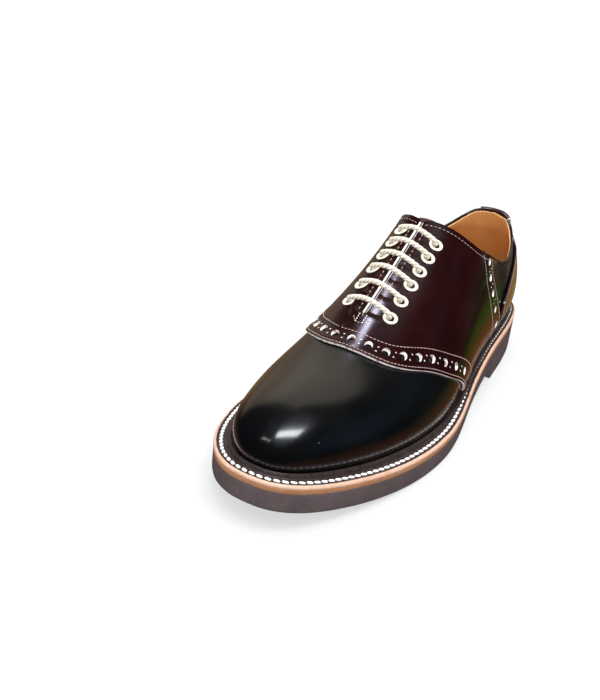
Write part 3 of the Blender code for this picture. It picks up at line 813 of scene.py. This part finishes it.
def saddle_holes():
    """Centres and normals of the large holes, and of the small pairs across the band between them."""
    large, small, rows = [], [], []
    for shift in (-PIN_ROW, 0.0, PIN_ROW):
        lateral, medial = (front_line(400, side, FRONT_HOLES + shift) for side, _ in SIDES)
        along, across = (np.r_[lateral[k], medial[k][::-1][1:]] for k in (0, 1))
        rows.append((skin(along, across, FACE), normal_on(along, across)))
    (outer, _), (middle_row, normals), (inner, _) = rows
    far = travelled(middle_row)
    marks = [m * MM for m in FRONT_PITCH if m * MM < far[-1] - 7 * MM]
    for at in marks:
        large.append((read_line(middle_row, far, at), unit(read_line(normals, far, at))))
    for at in ((a + b) / 2 for a, b in zip(marks, marks[1:])):
        for row in (outer, inner):
            small.append((read_line(row, far, at), unit(read_line(normals, far, at))))
    for side, _ in SIDES:
        along, up = np.array(REAR_PLACES).T
        p, normal = skin(along, side * (1 - up), FACE), normal_on(along, side * (1 - up))
        large += list(zip(p, normal))
        mid, mid_normal = (p[1:] + p[:-1]) / 2, unit(normal[1:] + normal[:-1])
        over = unit(np.cross(mid_normal, p[1:] - p[:-1])) * PIN_APART
        small += list(zip(mid + over, mid_normal)) + list(zip(mid - over, mid_normal))
    return large, small


def settled(obj):
    """The mesh that an object's modifiers make."""
    deps = bpy.context.evaluated_depsgraph_get()
    return bpy.data.meshes.new_from_object(obj.evaluated_get(deps), depsgraph=deps)


def saddle_lines(side, rows, front_cols, rear_cols, body):
    """The sheet's columns from its rear edge to its front edge, each as places and ways up the section."""
    front = [front_line(rows + 1, side, far) for far in front_cols[::-1]]
    rear = [rear_line(rows + 1, side, far) for far in rear_cols]
    lines = [(along, 1 - np.abs(across)) for along, across in rear]
    (rear_along, rear_up), front_along, front_up = lines[-1], front[0][0], 1 - np.abs(front[0][1])
    feet, share = np.linspace(0.0, 1.0, 401), np.linspace(0, 1, rows + 1)
    foot_a, foot_b = np.interp(rear_along[-1], TOP_ALONG(feet), feet), front_along[-1]
    step = rear_up[-1] - top_of(foot_a, side)[1]
    for k in body:
        along_top, up_top = top_of(foot_a + (foot_b - foot_a) * k, side)
        along = rear_along + (front_along - rear_along) * k
        up = rear_up / rear_up[-1] * (1 - k) + front_up * k
        lines.append((along + (along_top - along[-1]) * share ** 2, up * (up_top + step * (1 - k) ** 6)))
    return lines + [(along, 1 - np.abs(across)) for along, across in front]


def saddle_sheet():
    """The saddle before its holes, pressed in a little along the outer stitches of its bands."""
    rows = 116
    front_cols, rear_cols = np.linspace(0, FRONT_BAND, 27), np.linspace(0, REAR_BAND, 31)
    body = np.linspace(0, 1, 74)[1:-1]
    columns = len(front_cols) + len(rear_cols) + len(body)
    inset = np.r_[rear_cols, np.full(len(body), 1.0), front_cols[::-1]]
    dip = 0.14 * MM * np.exp(-((inset - 1.5 * MM) / (0.5 * MM)) ** 2)
    bm = bmesh.new()
    layer = bm.verts.layers.int.new("collar")
    for side, _ in SIDES:
        along, up = np.array(saddle_lines(side, rows, front_cols, rear_cols, body)).transpose(1, 0, 2)
        points = skin(along, side * (1 - up), FACE - dip[:, None])
        made, flat = side_grid(bm, columns - 1, rows, side)
        i, j = number_of(flat[:, 0], columns - 1), number_of(flat[:, 1], rows)
        put(made, points[i, j])
        for v, a, top in zip(made, along[i, j], j == rows):
            v[layer] = int(top and a < THROAT_TOP)
    bmesh.ops.remove_doubles(bm, verts=bm.verts, dist=4e-5)
    return piece("saddle_sheet", bm, [BURGUNDY, RAW_EDGE, DARK_EDGE], close=0)


def across_band(holes):
    """Matrices that stand on the skin at the holes."""
    points, normals = (np.array(column) for column in zip(*holes))
    return frame_at(points, np.tile((0.3, -1.0, 0.2), (len(points), 1)), normals)


def punches(large):
    """One cutter for all the large holes."""
    bm = bmesh.new()
    for m in across_band(large):
        bmesh.ops.create_cone(bm, cap_ends=True, segments=36, radius1=PUNCH_LOW, radius2=PUNCH_HIGH,
                              depth=6 * MM, matrix=Matrix(m.tolist()))
    for face in bm.faces:
        face.material_index = 1
    return piece("punches", bm, [BURGUNDY, RAW_EDGE], close=0)


def darken_collar(mesh):
    """Gives the sheet's cut edge along the collar the dark finish instead of the pale one."""
    top = np.zeros(len(mesh.vertices), np.int32)
    mesh.attributes["collar"].data.foreach_get("value", top)
    for face in mesh.polygons:
        if face.material_index == 1 and all(top[v] for v in face.vertices):
            face.material_index = 2


def saddle():
    """The sheet with its thickness and its holes, and the small pale holes as beads set in its face."""
    sheet = thicken(saddle_sheet(), SHEET, rim=1)
    large, small = saddle_holes()
    cutter = punches(large)
    cut = sheet.modifiers.new("holes", "BOOLEAN")
    cut.object, cut.solver = cutter, "MANIFOLD"
    mesh = settled(sheet)
    darken_collar(mesh)
    for extra in (sheet, cutter):
        bpy.data.objects.remove(extra)
    mesh.name = "saddle_leather"
    mesh.set_sharp_from_angle(angle=math.radians(38))
    obj = bpy.data.objects.new("saddle_leather", mesh)
    bpy.context.scene.collection.objects.link(obj)
    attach(obj, "root")
    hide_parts("saddle")
    pin = bead_shape(1.15 * MM, 1.0 * MM, 0.3 * MM, 10, 6)
    repeat("pin_holes", pin, across_band(small), WHITE_THREAD)


def slit_edges():
    """Pale cut edges of the two facings along the throat's slit."""
    s = np.linspace(0.468, 0.672, 120)
    for (side, word), near, radius in zip(SIDES, (0.95, 0.75), (0.30, 0.56)):
        line = skin(s, np.full_like(s, side * near * (1 - SLIT)), FACE - 0.30 * MM)
        tube(f"slit_edge_{word}", line, radius * MM, 8, WHITE_THREAD)


BACKSTAY_EDGE = flowing(BACKSTAY, 1)


def backstay():
    def place(u, v, side):
        up = v * TOPLINE_BACK
        along = BACKSTAY_EDGE(up) * (0.03 * u + 0.97 * u ** 1.7)
        top = up * (1 - (1 - topline(along, side) / TOPLINE_BACK) * v ** 3)
        return skin(along, side * (1 - top), FACE)
    obj = piece("backstay_leather", two_sides(60, 90, place), [BACKSTAY_LEATHER])
    thicken(obj, SHEET, bevel=0.3 * MM)
    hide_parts("backstay")


# Tongue's top and foot on the foot line, and the way up the section of its two side edges
TONGUE_TOP, TONGUE_FOOT, TONGUE_SIDE = 0.447, 0.715, 0.76


def tongue():
    """Plate behind the throat, rounded off at its top edge."""
    def place(u, v, side):
        along = TONGUE_TOP + (TONGUE_FOOT - TONGUE_TOP) * u
        round_off = 0.012 * (1 - v) ** 3 * np.clip((0.475 - along) / 0.03, 0, 1)
        return skin(along + round_off, side * (1 - (TONGUE_SIDE + (1 - TONGUE_SIDE) * v)), -WALL - LAY)
    obj = piece("tongue_leather", two_sides(90, 30, place), [TONGUE_LEATHER, DARK_EDGE])
    thicken(obj, TONGUE, rim=1, bevel=0.4 * MM)
    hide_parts("tongue")


def rim_path(end, lift, raise_by, count=160):
    """Line over the collar's rim, from a place on the lateral side round the back to the medial side."""
    u = np.linspace(0, 1, count)
    half = np.r_[end * (1 - u) ** 1.4, (end * u ** 1.4)[1:]]
    side = np.r_[np.ones(count), -np.ones(count - 1)]
    up = np.where(side > 0, topline(half, 1.0), topline(half, -1.0))
    path = skin(half, side * (1 - up), lift)
    path[:, 2] += raise_by
    return path


def collar_bead():
    """Narrow black binding that rounds off the topline, with the backstay's fold over it at the back."""
    tube("collar_bead", rim_path(0.312, -0.55 * MM, 0.15 * MM), 0.75 * MM, 12, BLACK)
    fold = rim_path(0.0105, 0.10 * MM, 0.05 * MM, 40)
    tube("backstay_fold", fold, 1.55 * MM, 14, BACKSTAY_LEATHER)
    edge = fold[0] + (fold[3] - fold[0]) * np.linspace(0, 0.6, 6)[:, None]
    tube("fold_edge", edge, 1.65 * MM, 12, RAW_EDGE)


# Sole: rings round the shoe. A row is an inset from the sole edge, a height and a way out, which is 0 on the
# centre line and 1 at the edge

def drawn_in(points, out):
    """Points moved towards the sole's centre line."""
    share = np.clip(0.5 - points[:, 1] / SOLE_LENGTH, 0, 1)
    lateral, medial = half_widths(share)
    mid = np.stack([(lateral + medial) / 2 - MIDDLE, points[:, 1]], -1)
    return mid + (points - mid) * out[:, None]


def ring_piece(name, rows, finish, node, n=240, closed=False, pattern=None):
    """A solid from its rows; an inset or a height may be a function of the share of the sole's length."""
    bm = bmesh.new()
    steps = len(rows) if closed else len(rows) - 1
    made, flat = grid(bm, 2 * n, steps)
    t = flat[:, 0] * 2
    side = np.where(t < 1, 1.0, -1.0)
    round_t = np.where(t < 1, t, 2 - t)
    share = (1 + np.cos(round_t * math.pi)) / 2
    share = share * 0.86 + (1 - round_t) * 0.14
    edge, normal = outline(share, side)
    row = number_of(flat[:, 1], steps)

    def column(k):
        return np.choose(row % len(rows), [r[k](share) if callable(r[k]) else r[k] + 0 * share for r in rows])
    inset, height, out = (column(k) for k in range(3))
    p = drawn_in(edge - normal * inset[:, None], out)
    put(made, np.c_[p, underside(0.5 - p[:, 1] / SOLE_LENGTH) + height])
    if pattern:
        write_pattern(bm, made, np.c_[flat[:, 0] * 700, np.array(pattern)[row]])
    obj = piece(name, bm, finish, close=1e-6, outward=True)
    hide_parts(node)


def flat_rows(inset, height, outs):
    return [(inset, height, out) for out in outs]


def lower_corner(inset, height, radius, rows=4):
    """Rows that round the corner from the underside up to the side."""
    return [(inset + radius * (1 - math.sin(a)), height + radius * (1 - math.cos(a)), 1.0)
            for a in np.linspace(0, math.pi / 2, rows)]


def upper_corner(inset, height, radius, rows=4):
    """Rows that round the corner from the side in over the top."""
    return [(inset + radius * (1 - math.cos(a)), height - radius * (1 - math.sin(a)), 1.0)
            for a in np.linspace(0, math.pi / 2, rows)]


def outsole():
    rows = (flat_rows(1.6 * MM, 0.0, (0.0, 0.25, 0.5, 0.75)) + lower_corner(0.3 * MM, 0.0, 1.2 * MM)
            + [(0.2 * MM, h * MM, 1.0) for h in (2.5, 4.5, 6.5, 8.5)]
            + upper_corner(0.25 * MM, OUTSOLE, 0.5 * MM) + flat_rows(1.0 * MM, OUTSOLE, (0.8, 0.4, 0.0)))
    ring_piece("outsole_rubber", rows, RUBBER, "outsole")


def midsole():
    low, high = OUTSOLE + GAP * 0.3, OUTSOLE + MIDSOLE + GAP
    rows = (flat_rows(1 * MM, low, (0.0, 0.6)) + lower_corner(0.15 * MM, low, 0.35 * MM, 3)
            + upper_corner(0.15 * MM, high, 0.35 * MM, 3) + flat_rows(1 * MM, high, (0.6, 0.0)))
    ring_piece("midsole_layer", rows, MIDSOLE_LEATHER, "midsole")


def welt():
    """Strip with a rounded edge, a shallow channel for the stitches and a rib beside the upper."""
    low = OUTSOLE + MIDSOLE + GAP * 1.4
    edge = ((0.45 * MM, low), (0.12 * MM, low + 0.25 * MM), (0.05 * MM, low + 0.8 * MM),
            (0.25 * MM, low + 1.25 * MM), (0.65 * MM, WELT_TOP - 0.18 * MM), (1.15 * MM, WELT_TOP),
            (1.5 * MM, WELT_TOP), (2.6 * MM, WELT_TOP - 0.14 * MM), (4.3 * MM, WELT_TOP - 0.14 * MM))
    rib = ((-2.2, 0.0), (-1.5, 0.25), (-1.15, 0.75), (-0.75, 1.0), (-0.25, 1.0), (0.10, 0.75), (0.45, 0.0))
    rows = [(*row, 1.0) for row in edge]
    for inward, k in rib:
        rows.append((lambda s, inward=inward: (RIB_IN(s) + inward) * MM,
                     lambda s, k=k: WELT_TOP + RIB_UP(s) * MM * k, 1.0))
    rows += [(WELT_INNER, WELT_TOP, 1.0), (WELT_INNER, low, 1.0)]
    across = [0, 0.5, 1.1, 1.7, 2.2, 2.75, 3.1, 4.0, 4.9, 5.6, 6.6, 7.2, 7.8, 8.3, 8.9, 10, 14, 16, 30]
    ring_piece("welt_strip", rows, WELT_LEATHER, "welt", closed=True, pattern=across)


def sock_lining():
    step = WELT_TOP + GAP

    def edge(s):
        return REACH(s) * MM + WALL + 0.4 * MM
    rounded = [(edge, step + INSOLE * 0.85, 1.0), (lambda s: edge(s) + 0.8 * MM, step + INSOLE, 1.0)]
    rows = flat_rows(edge, step, (0.0, 0.5, 1.0)) + rounded + flat_rows(edge, step + INSOLE, (0.8, 0.4, 0.0))
    ring_piece("sock_lining", rows, LINING, "insole", n=120)


def heel():
    """Block under the back of the sole, its front face slightly hollow."""
    top = HEEL - 0.1 * MM
    rows = (flat_rows(1.6 * MM, 0.0, (0.0, 0.3, 0.6, 0.85)) + lower_corner(0.3 * MM, 0.0, 1.2 * MM)
            + [(0.2 * MM, h * MM, 1.0) for h in (3, 5, 7, 9)] + flat_rows(0.2 * MM, top, (1.0, 0.6, 0.0)))
    bm = bmesh.new()
    made, flat = grid(bm, 180, len(rows) - 1)
    t = flat[:, 0] * 2
    share = BREAST * (1 - np.cos(np.where(t < 1, 1 - t, t - 1) * math.pi / 2))
    edge, normal = outline(share, np.where(t < 1, 1.0, -1.0))
    inset, height, out = np.array(rows).T[:, number_of(flat[:, 1], len(rows) - 1)]
    p = drawn_in(edge - normal * inset[:, None], out)
    p[:, 1] += 2.5 * MM * (1 - out ** 2) * (share / BREAST) ** 6
    put(made, np.c_[p, height])
    bmesh.ops.remove_doubles(bm, verts=bm.verts, dist=1e-6)
    bmesh.ops.holes_fill(bm, edges=[e for e in bm.edges if e.is_boundary], sides=0)
    obj = piece("heel_block", bm, RUBBER, close=1e-6, outward=True)
    obj.data.set_sharp_from_angle(angle=math.radians(40))
    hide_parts("heel")


# Stitches: pitch, and each stitch's length, width and height, in mm

def seam(name, line, pitch, size, finish, lift=STITCHED):
    """A row of stitches along a line of places on the skin."""
    along, across = line
    path = skin(along, across, lift)
    p, ahead, at = even_walk(path, pitch * MM)
    far = travelled(path)
    normal = normal_on(np.interp(at, far, along), np.interp(at, far, across))
    shape = bead_shape(*(v * MM for v in size))
    repeat(name, shape, frame_at(p, ahead, normal), finish)


# Rows along the saddle's bands: name, line, its points, distance in mm from the edge, and what part is sewn
BAND_ROWS = (("front_outer", front_line, 300, 1.5, slice(4, None)),
             ("front_inner", front_line, 300, 11.6, slice(4, None)),
             ("rear_outer", rear_line, 200, 1.2, slice(3, -9)),
             ("rear_inner", rear_line, 200, 14.0, slice(3, -9)))
# Where other rows start and end on the foot line
COLLAR_ROW, FACING_ROW, QUARTER_ROW, LINING_ROW = (0.300, 0.496), (0.484, 0.664), (0.02, 0.300), (0.0, 0.44)


def saddle_seams():
    """Rows along the bands, along the collar and down both sides of the slit."""
    for side, word in SIDES:
        for name, follow, count, far, sewn in BAND_ROWS:
            a, c = follow(count, side, far * MM)
            seam(f"{name}_stitches_{word}", (a[sewn], c[sewn]), 2.0, (1.5, 0.42, 0.36), PINK_THREAD)
        a, up = top_of(np.linspace(*COLLAR_ROW, 200), side)
        c = side * (1 - up)
        inward = np.cross(normal_on(a, c), unit(np.gradient(skin(a, c), axis=0)))
        inward *= np.sign(-inward[:, 2].mean())
        for _ in range(4):
            a, c = step_over(a, c, inward * 0.75 * MM)
        seam(f"collar_stitches_{word}", (a, c), 2.4, (1.55, 0.36, 0.34), PINK_THREAD)
        s = np.linspace(*FACING_ROW, 160)
        line = step_over(s, np.full_like(s, side * (1 - SLIT)), np.array((side * 3.0 * MM, 0, 0)))
        seam(f"facing_stitches_{word}", line, 2.9, (1.7, 0.5, 0.4), PINK_THREAD)


def upper_seams():
    """Row along the backstay, dark row under the collar's edge, and the dotted row inside the collar."""
    for side, word in SIDES:
        up = np.linspace(0.10, 1, 200) * 0.40
        along = BACKSTAY_EDGE(up)
        a, c = beside(along, side * (1 - np.minimum(up, topline(along, side) - 0.006)), 1.3 * MM, -1)
        seam(f"backstay_stitches_{word}", (a[:150], c[:150]), 2.1, (1.4, 0.42, 0.36), PINK_THREAD)
        along = np.linspace(*QUARTER_ROW, 160)
        line = (along, side * (1 - topline(along, side) + 0.021))
        seam(f"quarter_stitches_{word}", line, 2.2, (1.6, 0.4, 0.34), DARK_THREAD, 0.0)
    for side, word in SIDES:
        along = np.linspace(*LINING_ROW, 260)
        line = (along, side * (1 - topline(along, side) + 0.020))
        seam(f"lining_stitches_{word}", line, 2.3, (1.1, 0.36, 0.36), PALE_EDGE, -2.05 * MM)


def bar_tack():
    """Two short rows beside the foot of the throat and a shallow bow of stitches under them."""
    s = np.linspace(0.676, 0.692, 12)
    for k, offset in enumerate((-1.6, 1.6)):
        line = step_over(s, np.full(12, 0.004 * np.sign(offset)), np.array((offset * MM, 0, 0)))
        seam(f"tack_row_{k + 1}", line, 1.5, (1.0, 0.45, 0.4), WHITE_THREAD)
    t = np.linspace(-1, 1, 60)
    sideways = np.stack([t * 4.2 * MM, 0 * t, 0 * t], -1)
    line = step_over(0.684 + 0.010 * (1 - t ** 2), np.full(60, 0.001), sideways)
    seam("tack_bow", line, 1.9, (1.2, 0.45, 0.40), PINK_THREAD)


def round_the_welt(inset, height):
    """Line round the shoe on the welt, and its outward directions."""
    share = (1 + np.cos(np.linspace(0.0, 1.0, 900) * math.pi)) / 2
    points, outs = [], []
    for side, _ in SIDES:
        edge, normal = outline(share, np.full(len(share), side))
        flat = edge - normal * inset(share)[:, None]
        points.append(np.c_[flat, underside(0.5 - flat[:, 1] / SOLE_LENGTH) + height(share)])
        outs.append(np.c_[normal, 0 * share])
    return (np.r_[both[0], both[1][::-1][1:]] for both in (points, outs))


def welt_stitches():
    """Thick white lockstitch in the welt's channel, and the dark stitches on the rib."""
    path, _ = round_the_welt(lambda s: 3.6 * MM + 0 * s, lambda s: WELT_TOP + 0.10 * MM + 0 * s)
    p, ahead, _ = even_walk(path, 4.0 * MM)
    normal = np.tile((0, 0, 1.0), (len(p), 1))
    ahead = unit(ahead + np.cross(normal, ahead) * -0.22)
    repeat("welt_stitches", bead_shape(3.2 * MM, 1.75 * MM, 1.1 * MM, 10, 8),
                   frame_at(p, ahead, normal)[:-1], WHITE_THREAD)
    path, out = round_the_welt(lambda s: (RIB_IN(s) - 1.22) * MM, lambda s: WELT_TOP + RIB_UP(s) * MM * 0.62)
    p, ahead, at = even_walk(path, 4.2 * MM)
    normal = unit(read_line(out, travelled(path), at) + np.array((0, 0, 0.6)))
    repeat("rib_stitches", bead_shape(2.6 * MM, 0.7 * MM, 0.5 * MM), frame_at(p, ahead, normal)[:-1],
                   DARK_THREAD)


# Eyelets and laces

def eyelet_places():
    """Centre and normal of each eyelet, lateral and medial in turn from the top."""
    found = []
    for row in EYELETS:
        for side, along, up in ((1.0, row[0], row[2]), (-1.0, row[1], row[3])):
            a, c = np.array([along]), np.array([side * (1 - up)])
            found.append((skin(a, c, FACE)[0], normal_on(a, c)[0]))
    return found


# Section of an eyelet, from inside the hole round over the ring: radius and height over the facing, in mm
RING = np.array(((2.05, -2.6), (2.2, -2.6), (2.3, 0.12), (3.35, 0.12), (3.80, 0.22), (3.92, 0.50),
                 (3.70, 0.80), (3.20, 0.98), (2.65, 0.92), (2.28, 0.62), (2.10, 0.1)))


def eyelets():
    """Twelve rings, each turned round from the section and stood on the facing."""
    bm = bmesh.new()
    made, flat = grid(bm, 40, len(RING))
    a = flat[:, 0] * 2 * math.pi
    r, z = RING[number_of(flat[:, 1], len(RING)) % len(RING)].T * MM
    put(made, np.c_[r * np.cos(a), r * np.sin(a), z])
    bmesh.ops.remove_doubles(bm, verts=bm.verts, dist=1e-6)
    bmesh.ops.recalc_face_normals(bm, faces=bm.faces)
    places = [frame_at(p[None], np.array([[0.0, -1.0, -0.4]]), n[None])[0] for p, n in eyelet_places()]
    obj = repeat("eyelet_rings", bm, places, ENAMEL)
    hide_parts(*[f"eyelet_{side}_{i}" for i in range(1, 7) for side in ("lateral", "medial")])


LACE_RADIUS, STRAND = 1.36 * MM, 0.85 * MM


def laces():
    """Six bars, each up out of one eyelet, over in an arch and down into the one opposite."""
    places = eyelet_places()
    for i in range(len(EYELETS)):
        (a, na), (b, nb) = places[2 * i], places[2 * i + 1]
        mid = (a + b) / 2
        rise = unit(na + nb)
        halves = [[p - n * 2.2 * MM, p + n * 0.9 * MM + unit(mid - p) * 0.75 * MM,
                   p + n * 3.3 * MM + (mid - p) * 0.12, mid + (p - mid) * 0.42 + rise * 6.5 * MM]
                  for p, n in ((a, na), (b, nb))]
        stations = halves[0] + [mid + rise * 7.4 * MM] + halves[1][::-1]
        rows = np.array([(k / 8, *p) for k, p in enumerate(stations)])
        t = np.linspace(0, 1, 200)
        path = np.stack([spline(rows, c)(t) for c in (1, 2, 3)], -1)
        braid(f"lace_{i + 1}", path, LACE_RADIUS, f"lace_bar_{i + 1}")


def braid(name, path, radius, node):
    """Round braided cord: strands cross both ways, and its ends close inside the eyelets.

    The strands' valleys are kept as a number on each vertex, for the painted shade in the lace's finish.
    """
    path, _, at = even_walk(path, 0.22 * MM)
    bm = bmesh.new()
    layer = bm.verts.layers.float.new("valley_shade")
    made, flat = grid(bm, len(path) - 1, 36)
    far = at[number_of(flat[:, 0], len(path) - 1)]
    a, s = flat[:, 1] * 2 * math.pi, far / STRAND
    high = np.maximum(np.abs(np.cos(1.5 * a + s)), np.abs(np.cos(1.5 * a - s)) * 0.45)
    wrap(made, flat, path, radius * (0.78 + 0.24 * high ** 0.8))
    write_pattern(bm, made, np.c_[far, flat[:, 1]])
    for v, h in zip(made, high):
        v[layer] = 1 - float(h)
    obj = piece(name, bm, LACE, close=1e-6, outward=True)
    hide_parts(node)


for make in (black_upper, lining, saddle, slit_edges, backstay, tongue, collar_bead, outsole, midsole, welt,
             sock_lining, heel, saddle_seams, upper_seams, bar_tack, welt_stitches, eyelets, laces):
    make()


# Floor, light and camera

def floor():
    """White paper that glows more the farther off it is, so that it stays white up to the horizon."""
    bm = bmesh.new()
    bmesh.ops.create_grid(bm, x_segments=1, y_segments=1, size=6.0)
    mesh = bpy.data.meshes.new("floor")
    bm.to_mesh(mesh)
    bm.free()
    obj = bpy.data.objects.new("floor", mesh)
    bpy.context.scene.collection.objects.link(obj)
    paper = Finish("floor_paper", Roughness=0.9, Specular_IOR_Level=0.0, Emission_Strength=1.0,
                   Base_Color=(0.42, 0.42, 0.42))
    far = paper.node("ShaderNodeVectorMath", "Value", {"operation": "LENGTH"}, Vector=paper.place())
    paper.set("Emission Color", paper.mix((0.24, 0.24, 0.24), (0.80, 0.80, 0.80), far.between(0.35, 1.5)))
    mesh.materials.append(paper.material)
    obj.visible_glossy = False


def lamp(name, place, aim, size, power, colour, glossy=True, turn=0, spread=180):
    """Area lamp; one that glossy leather shows casts no shadow."""
    light = bpy.data.lights.new(name, "AREA")
    light.shape, light.size, light.size_y = "RECTANGLE", size[0], size[1]
    light.energy, light.color, light.use_shadow = power, colour, not glossy
    light.spread = math.radians(spread)
    obj = bpy.data.objects.new(name, light)
    bpy.context.scene.collection.objects.link(obj)
    obj.location = place
    facing = (Vector(place) - Vector(aim)).to_track_quat("Z", "Y").to_matrix()
    obj.rotation_euler = (facing @ Matrix.Rotation(math.radians(turn), 3, "Z")).to_euler()
    obj.visible_glossy = glossy


def room():
    """World light: even and pale for matt surfaces, a dim soft room in the leather's reflections.

    Each part of that room is placed by its direction: x outward, y back to the heel, z up.
    """
    world = bpy.data.worlds.new("room")
    bpy.context.scene.world = world
    world.use_nodes = True
    tree = world.node_tree
    tree.nodes.clear()
    out = tree.nodes.new("ShaderNodeOutputWorld")
    mix = tree.nodes.new("ShaderNodeMixShader")
    pale, dim = tree.nodes.new("ShaderNodeBackground"), tree.nodes.new("ShaderNodeBackground")
    pale.inputs[0].default_value, pale.inputs[1].default_value = (1, 1, 1, 1), 1.0
    rays = tree.nodes.new("ShaderNodeLightPath")
    tree.links.new(rays.outputs["Is Glossy Ray"], mix.inputs[0])
    tree.links.new(pale.outputs[0], mix.inputs[1])
    tree.links.new(dim.outputs[0], mix.inputs[2])
    tree.links.new(mix.outputs[0], out.inputs[0])
    direction = Value(tree, tree.nodes.new("ShaderNodeTexCoord").outputs["Generated"])

    def way(*towards):
        """How far a direction points this way."""
        dot = tree.nodes.new("ShaderNodeVectorMath")
        dot.operation = "DOT_PRODUCT"
        feed(tree, dot.inputs[0], direction)
        dot.inputs[1].default_value = towards
        return Value(tree, dot.outputs["Value"])

    def glow(towards, width, soft):
        """Round soft spot, width and softness in degrees."""
        rim, core = (math.cos(math.radians(angle)) for angle in (width + soft, width - soft))
        return way(*Vector(towards).normalized()).between(rim, core)

    def mixed(a, b, factor):
        return mix_colours(tree, a, b, factor)

    height, back, outward = way(0, 0, 1), way(0, 1, 0), way(1, 0, 0)
    wall = way(-0.35, 1, 0).between(0.375, 0.46) * way(0.25, 1, 0).between(0.17, 0.27)
    wall = wall * height.between(-0.22, -0.06) * (1 - outward.between(0.30, 0.46))
    colour = mixed((0.006, 0.007, 0.010), (0.04, 0.09, 0.13), glow((0.92, 0.28, 0.22), 14, 14))
    colour = mixed(colour, mixed((0.34, 0.25, 0.18), (0.80, 0.72, 0.59), height.between(0.1, 0.6)), wall)
    colour = mixed(colour, (0.20, 0.13, 0.085), glow((-0.46, 0.82, -0.33), 20, 7))
    low, behind, outer = way(-0.075, 0, 1), back.between(0.62, 0.80), outward.between(0.22, 0.48)
    colour = mixed(colour, mixed((0.035, 0.12, 0.012), (0.025, 0.07, 0.014), outer),
                   (1 - low.between(-0.285, -0.248)) * behind)
    colour = mixed(colour, mixed((0.16, 0.060, 0.014), (0.13, 0.055, 0.020), outer),
                   (1 - low.between(-0.36, -0.30)) * behind)
    colour = mixed(colour, (0.44, 0.26, 0.095),
                   (1 - way(1, 0, -0.8).between(0.295, 0.335)) * behind * (1 - height.between(-0.25, -0.20)))
    colour = mixed(colour, (0.17, 0.065, 0.035), (1 - height.between(-0.45, -0.22)) * (1 - behind))
    colour = mixed(colour, (0.46, 0.54, 0.66), glow((0.15, -0.26, 0.95), 17, 17) * 0.8)
    feed(tree, dim.inputs[0], colour)
    dim.inputs[1].default_value = 1.0


def camera():
    """The photo's angle to the shoe, rolled as the photo is: distances in mm, the lens in picture rows."""
    azimuth, elevation, roll = (math.radians(v) for v in (27.69, 25.54, 6.94))
    away, across, over = 574.26, 48.27, -29.4
    focal, picture_rows = 1004.9, 700
    back = np.array([math.sin(azimuth) * math.cos(elevation), -math.cos(azimuth) * math.cos(elevation),
                     math.sin(elevation)])
    right = np.array([math.cos(azimuth), math.sin(azimuth), 0])
    turn = np.array([right, np.cross(back, right), back])
    c, s = math.cos(roll), math.sin(roll)
    turn = np.array([[c, s, 0], [-s, c, 0], [0, 0, 1]]) @ turn
    place = turn.T @ np.array([-across, -over, away])
    place[0] -= MIDDLE / MM
    data = bpy.data.cameras.new("camera")
    data.sensor_fit = "VERTICAL"
    data.sensor_height = 36
    data.lens = focal * data.sensor_height / picture_rows
    data.clip_start, data.clip_end = 0.02, 50
    obj = bpy.data.objects.new("camera", data)
    bpy.context.scene.collection.objects.link(obj)
    obj.matrix_world = Matrix.Translation(place * MM) @ Matrix(turn.T.tolist()).to_4x4()
    bpy.context.scene.camera = obj


floor()
room()
lamp("window", (0.20, -0.42, 1.30), (0, -0.12, 0.05), (1.05, 0.26), 17, (0.95, 0.98, 1.0), turn=-14)
lamp("ceiling_corner", (-0.030, -0.028, 0.205), (0.004, -0.045, 0.085), (0.022, 0.014), 0.0012,
     (0.80, 0.78, 1.0), spread=36)
lamp("far_lamp", (-0.50, -0.80, 0.95), (0, -0.14, 0.04), (0.07, 0.07), 0.25, (1.0, 0.98, 0.96))
lamp("ceiling", (0.25, 0.25, 1.6), (0, 0, 0), (1.4, 1.4), 14, (1, 0.99, 0.97), glossy=False)
camera()
bpy.context.scene.view_settings.view_transform = "Standard"
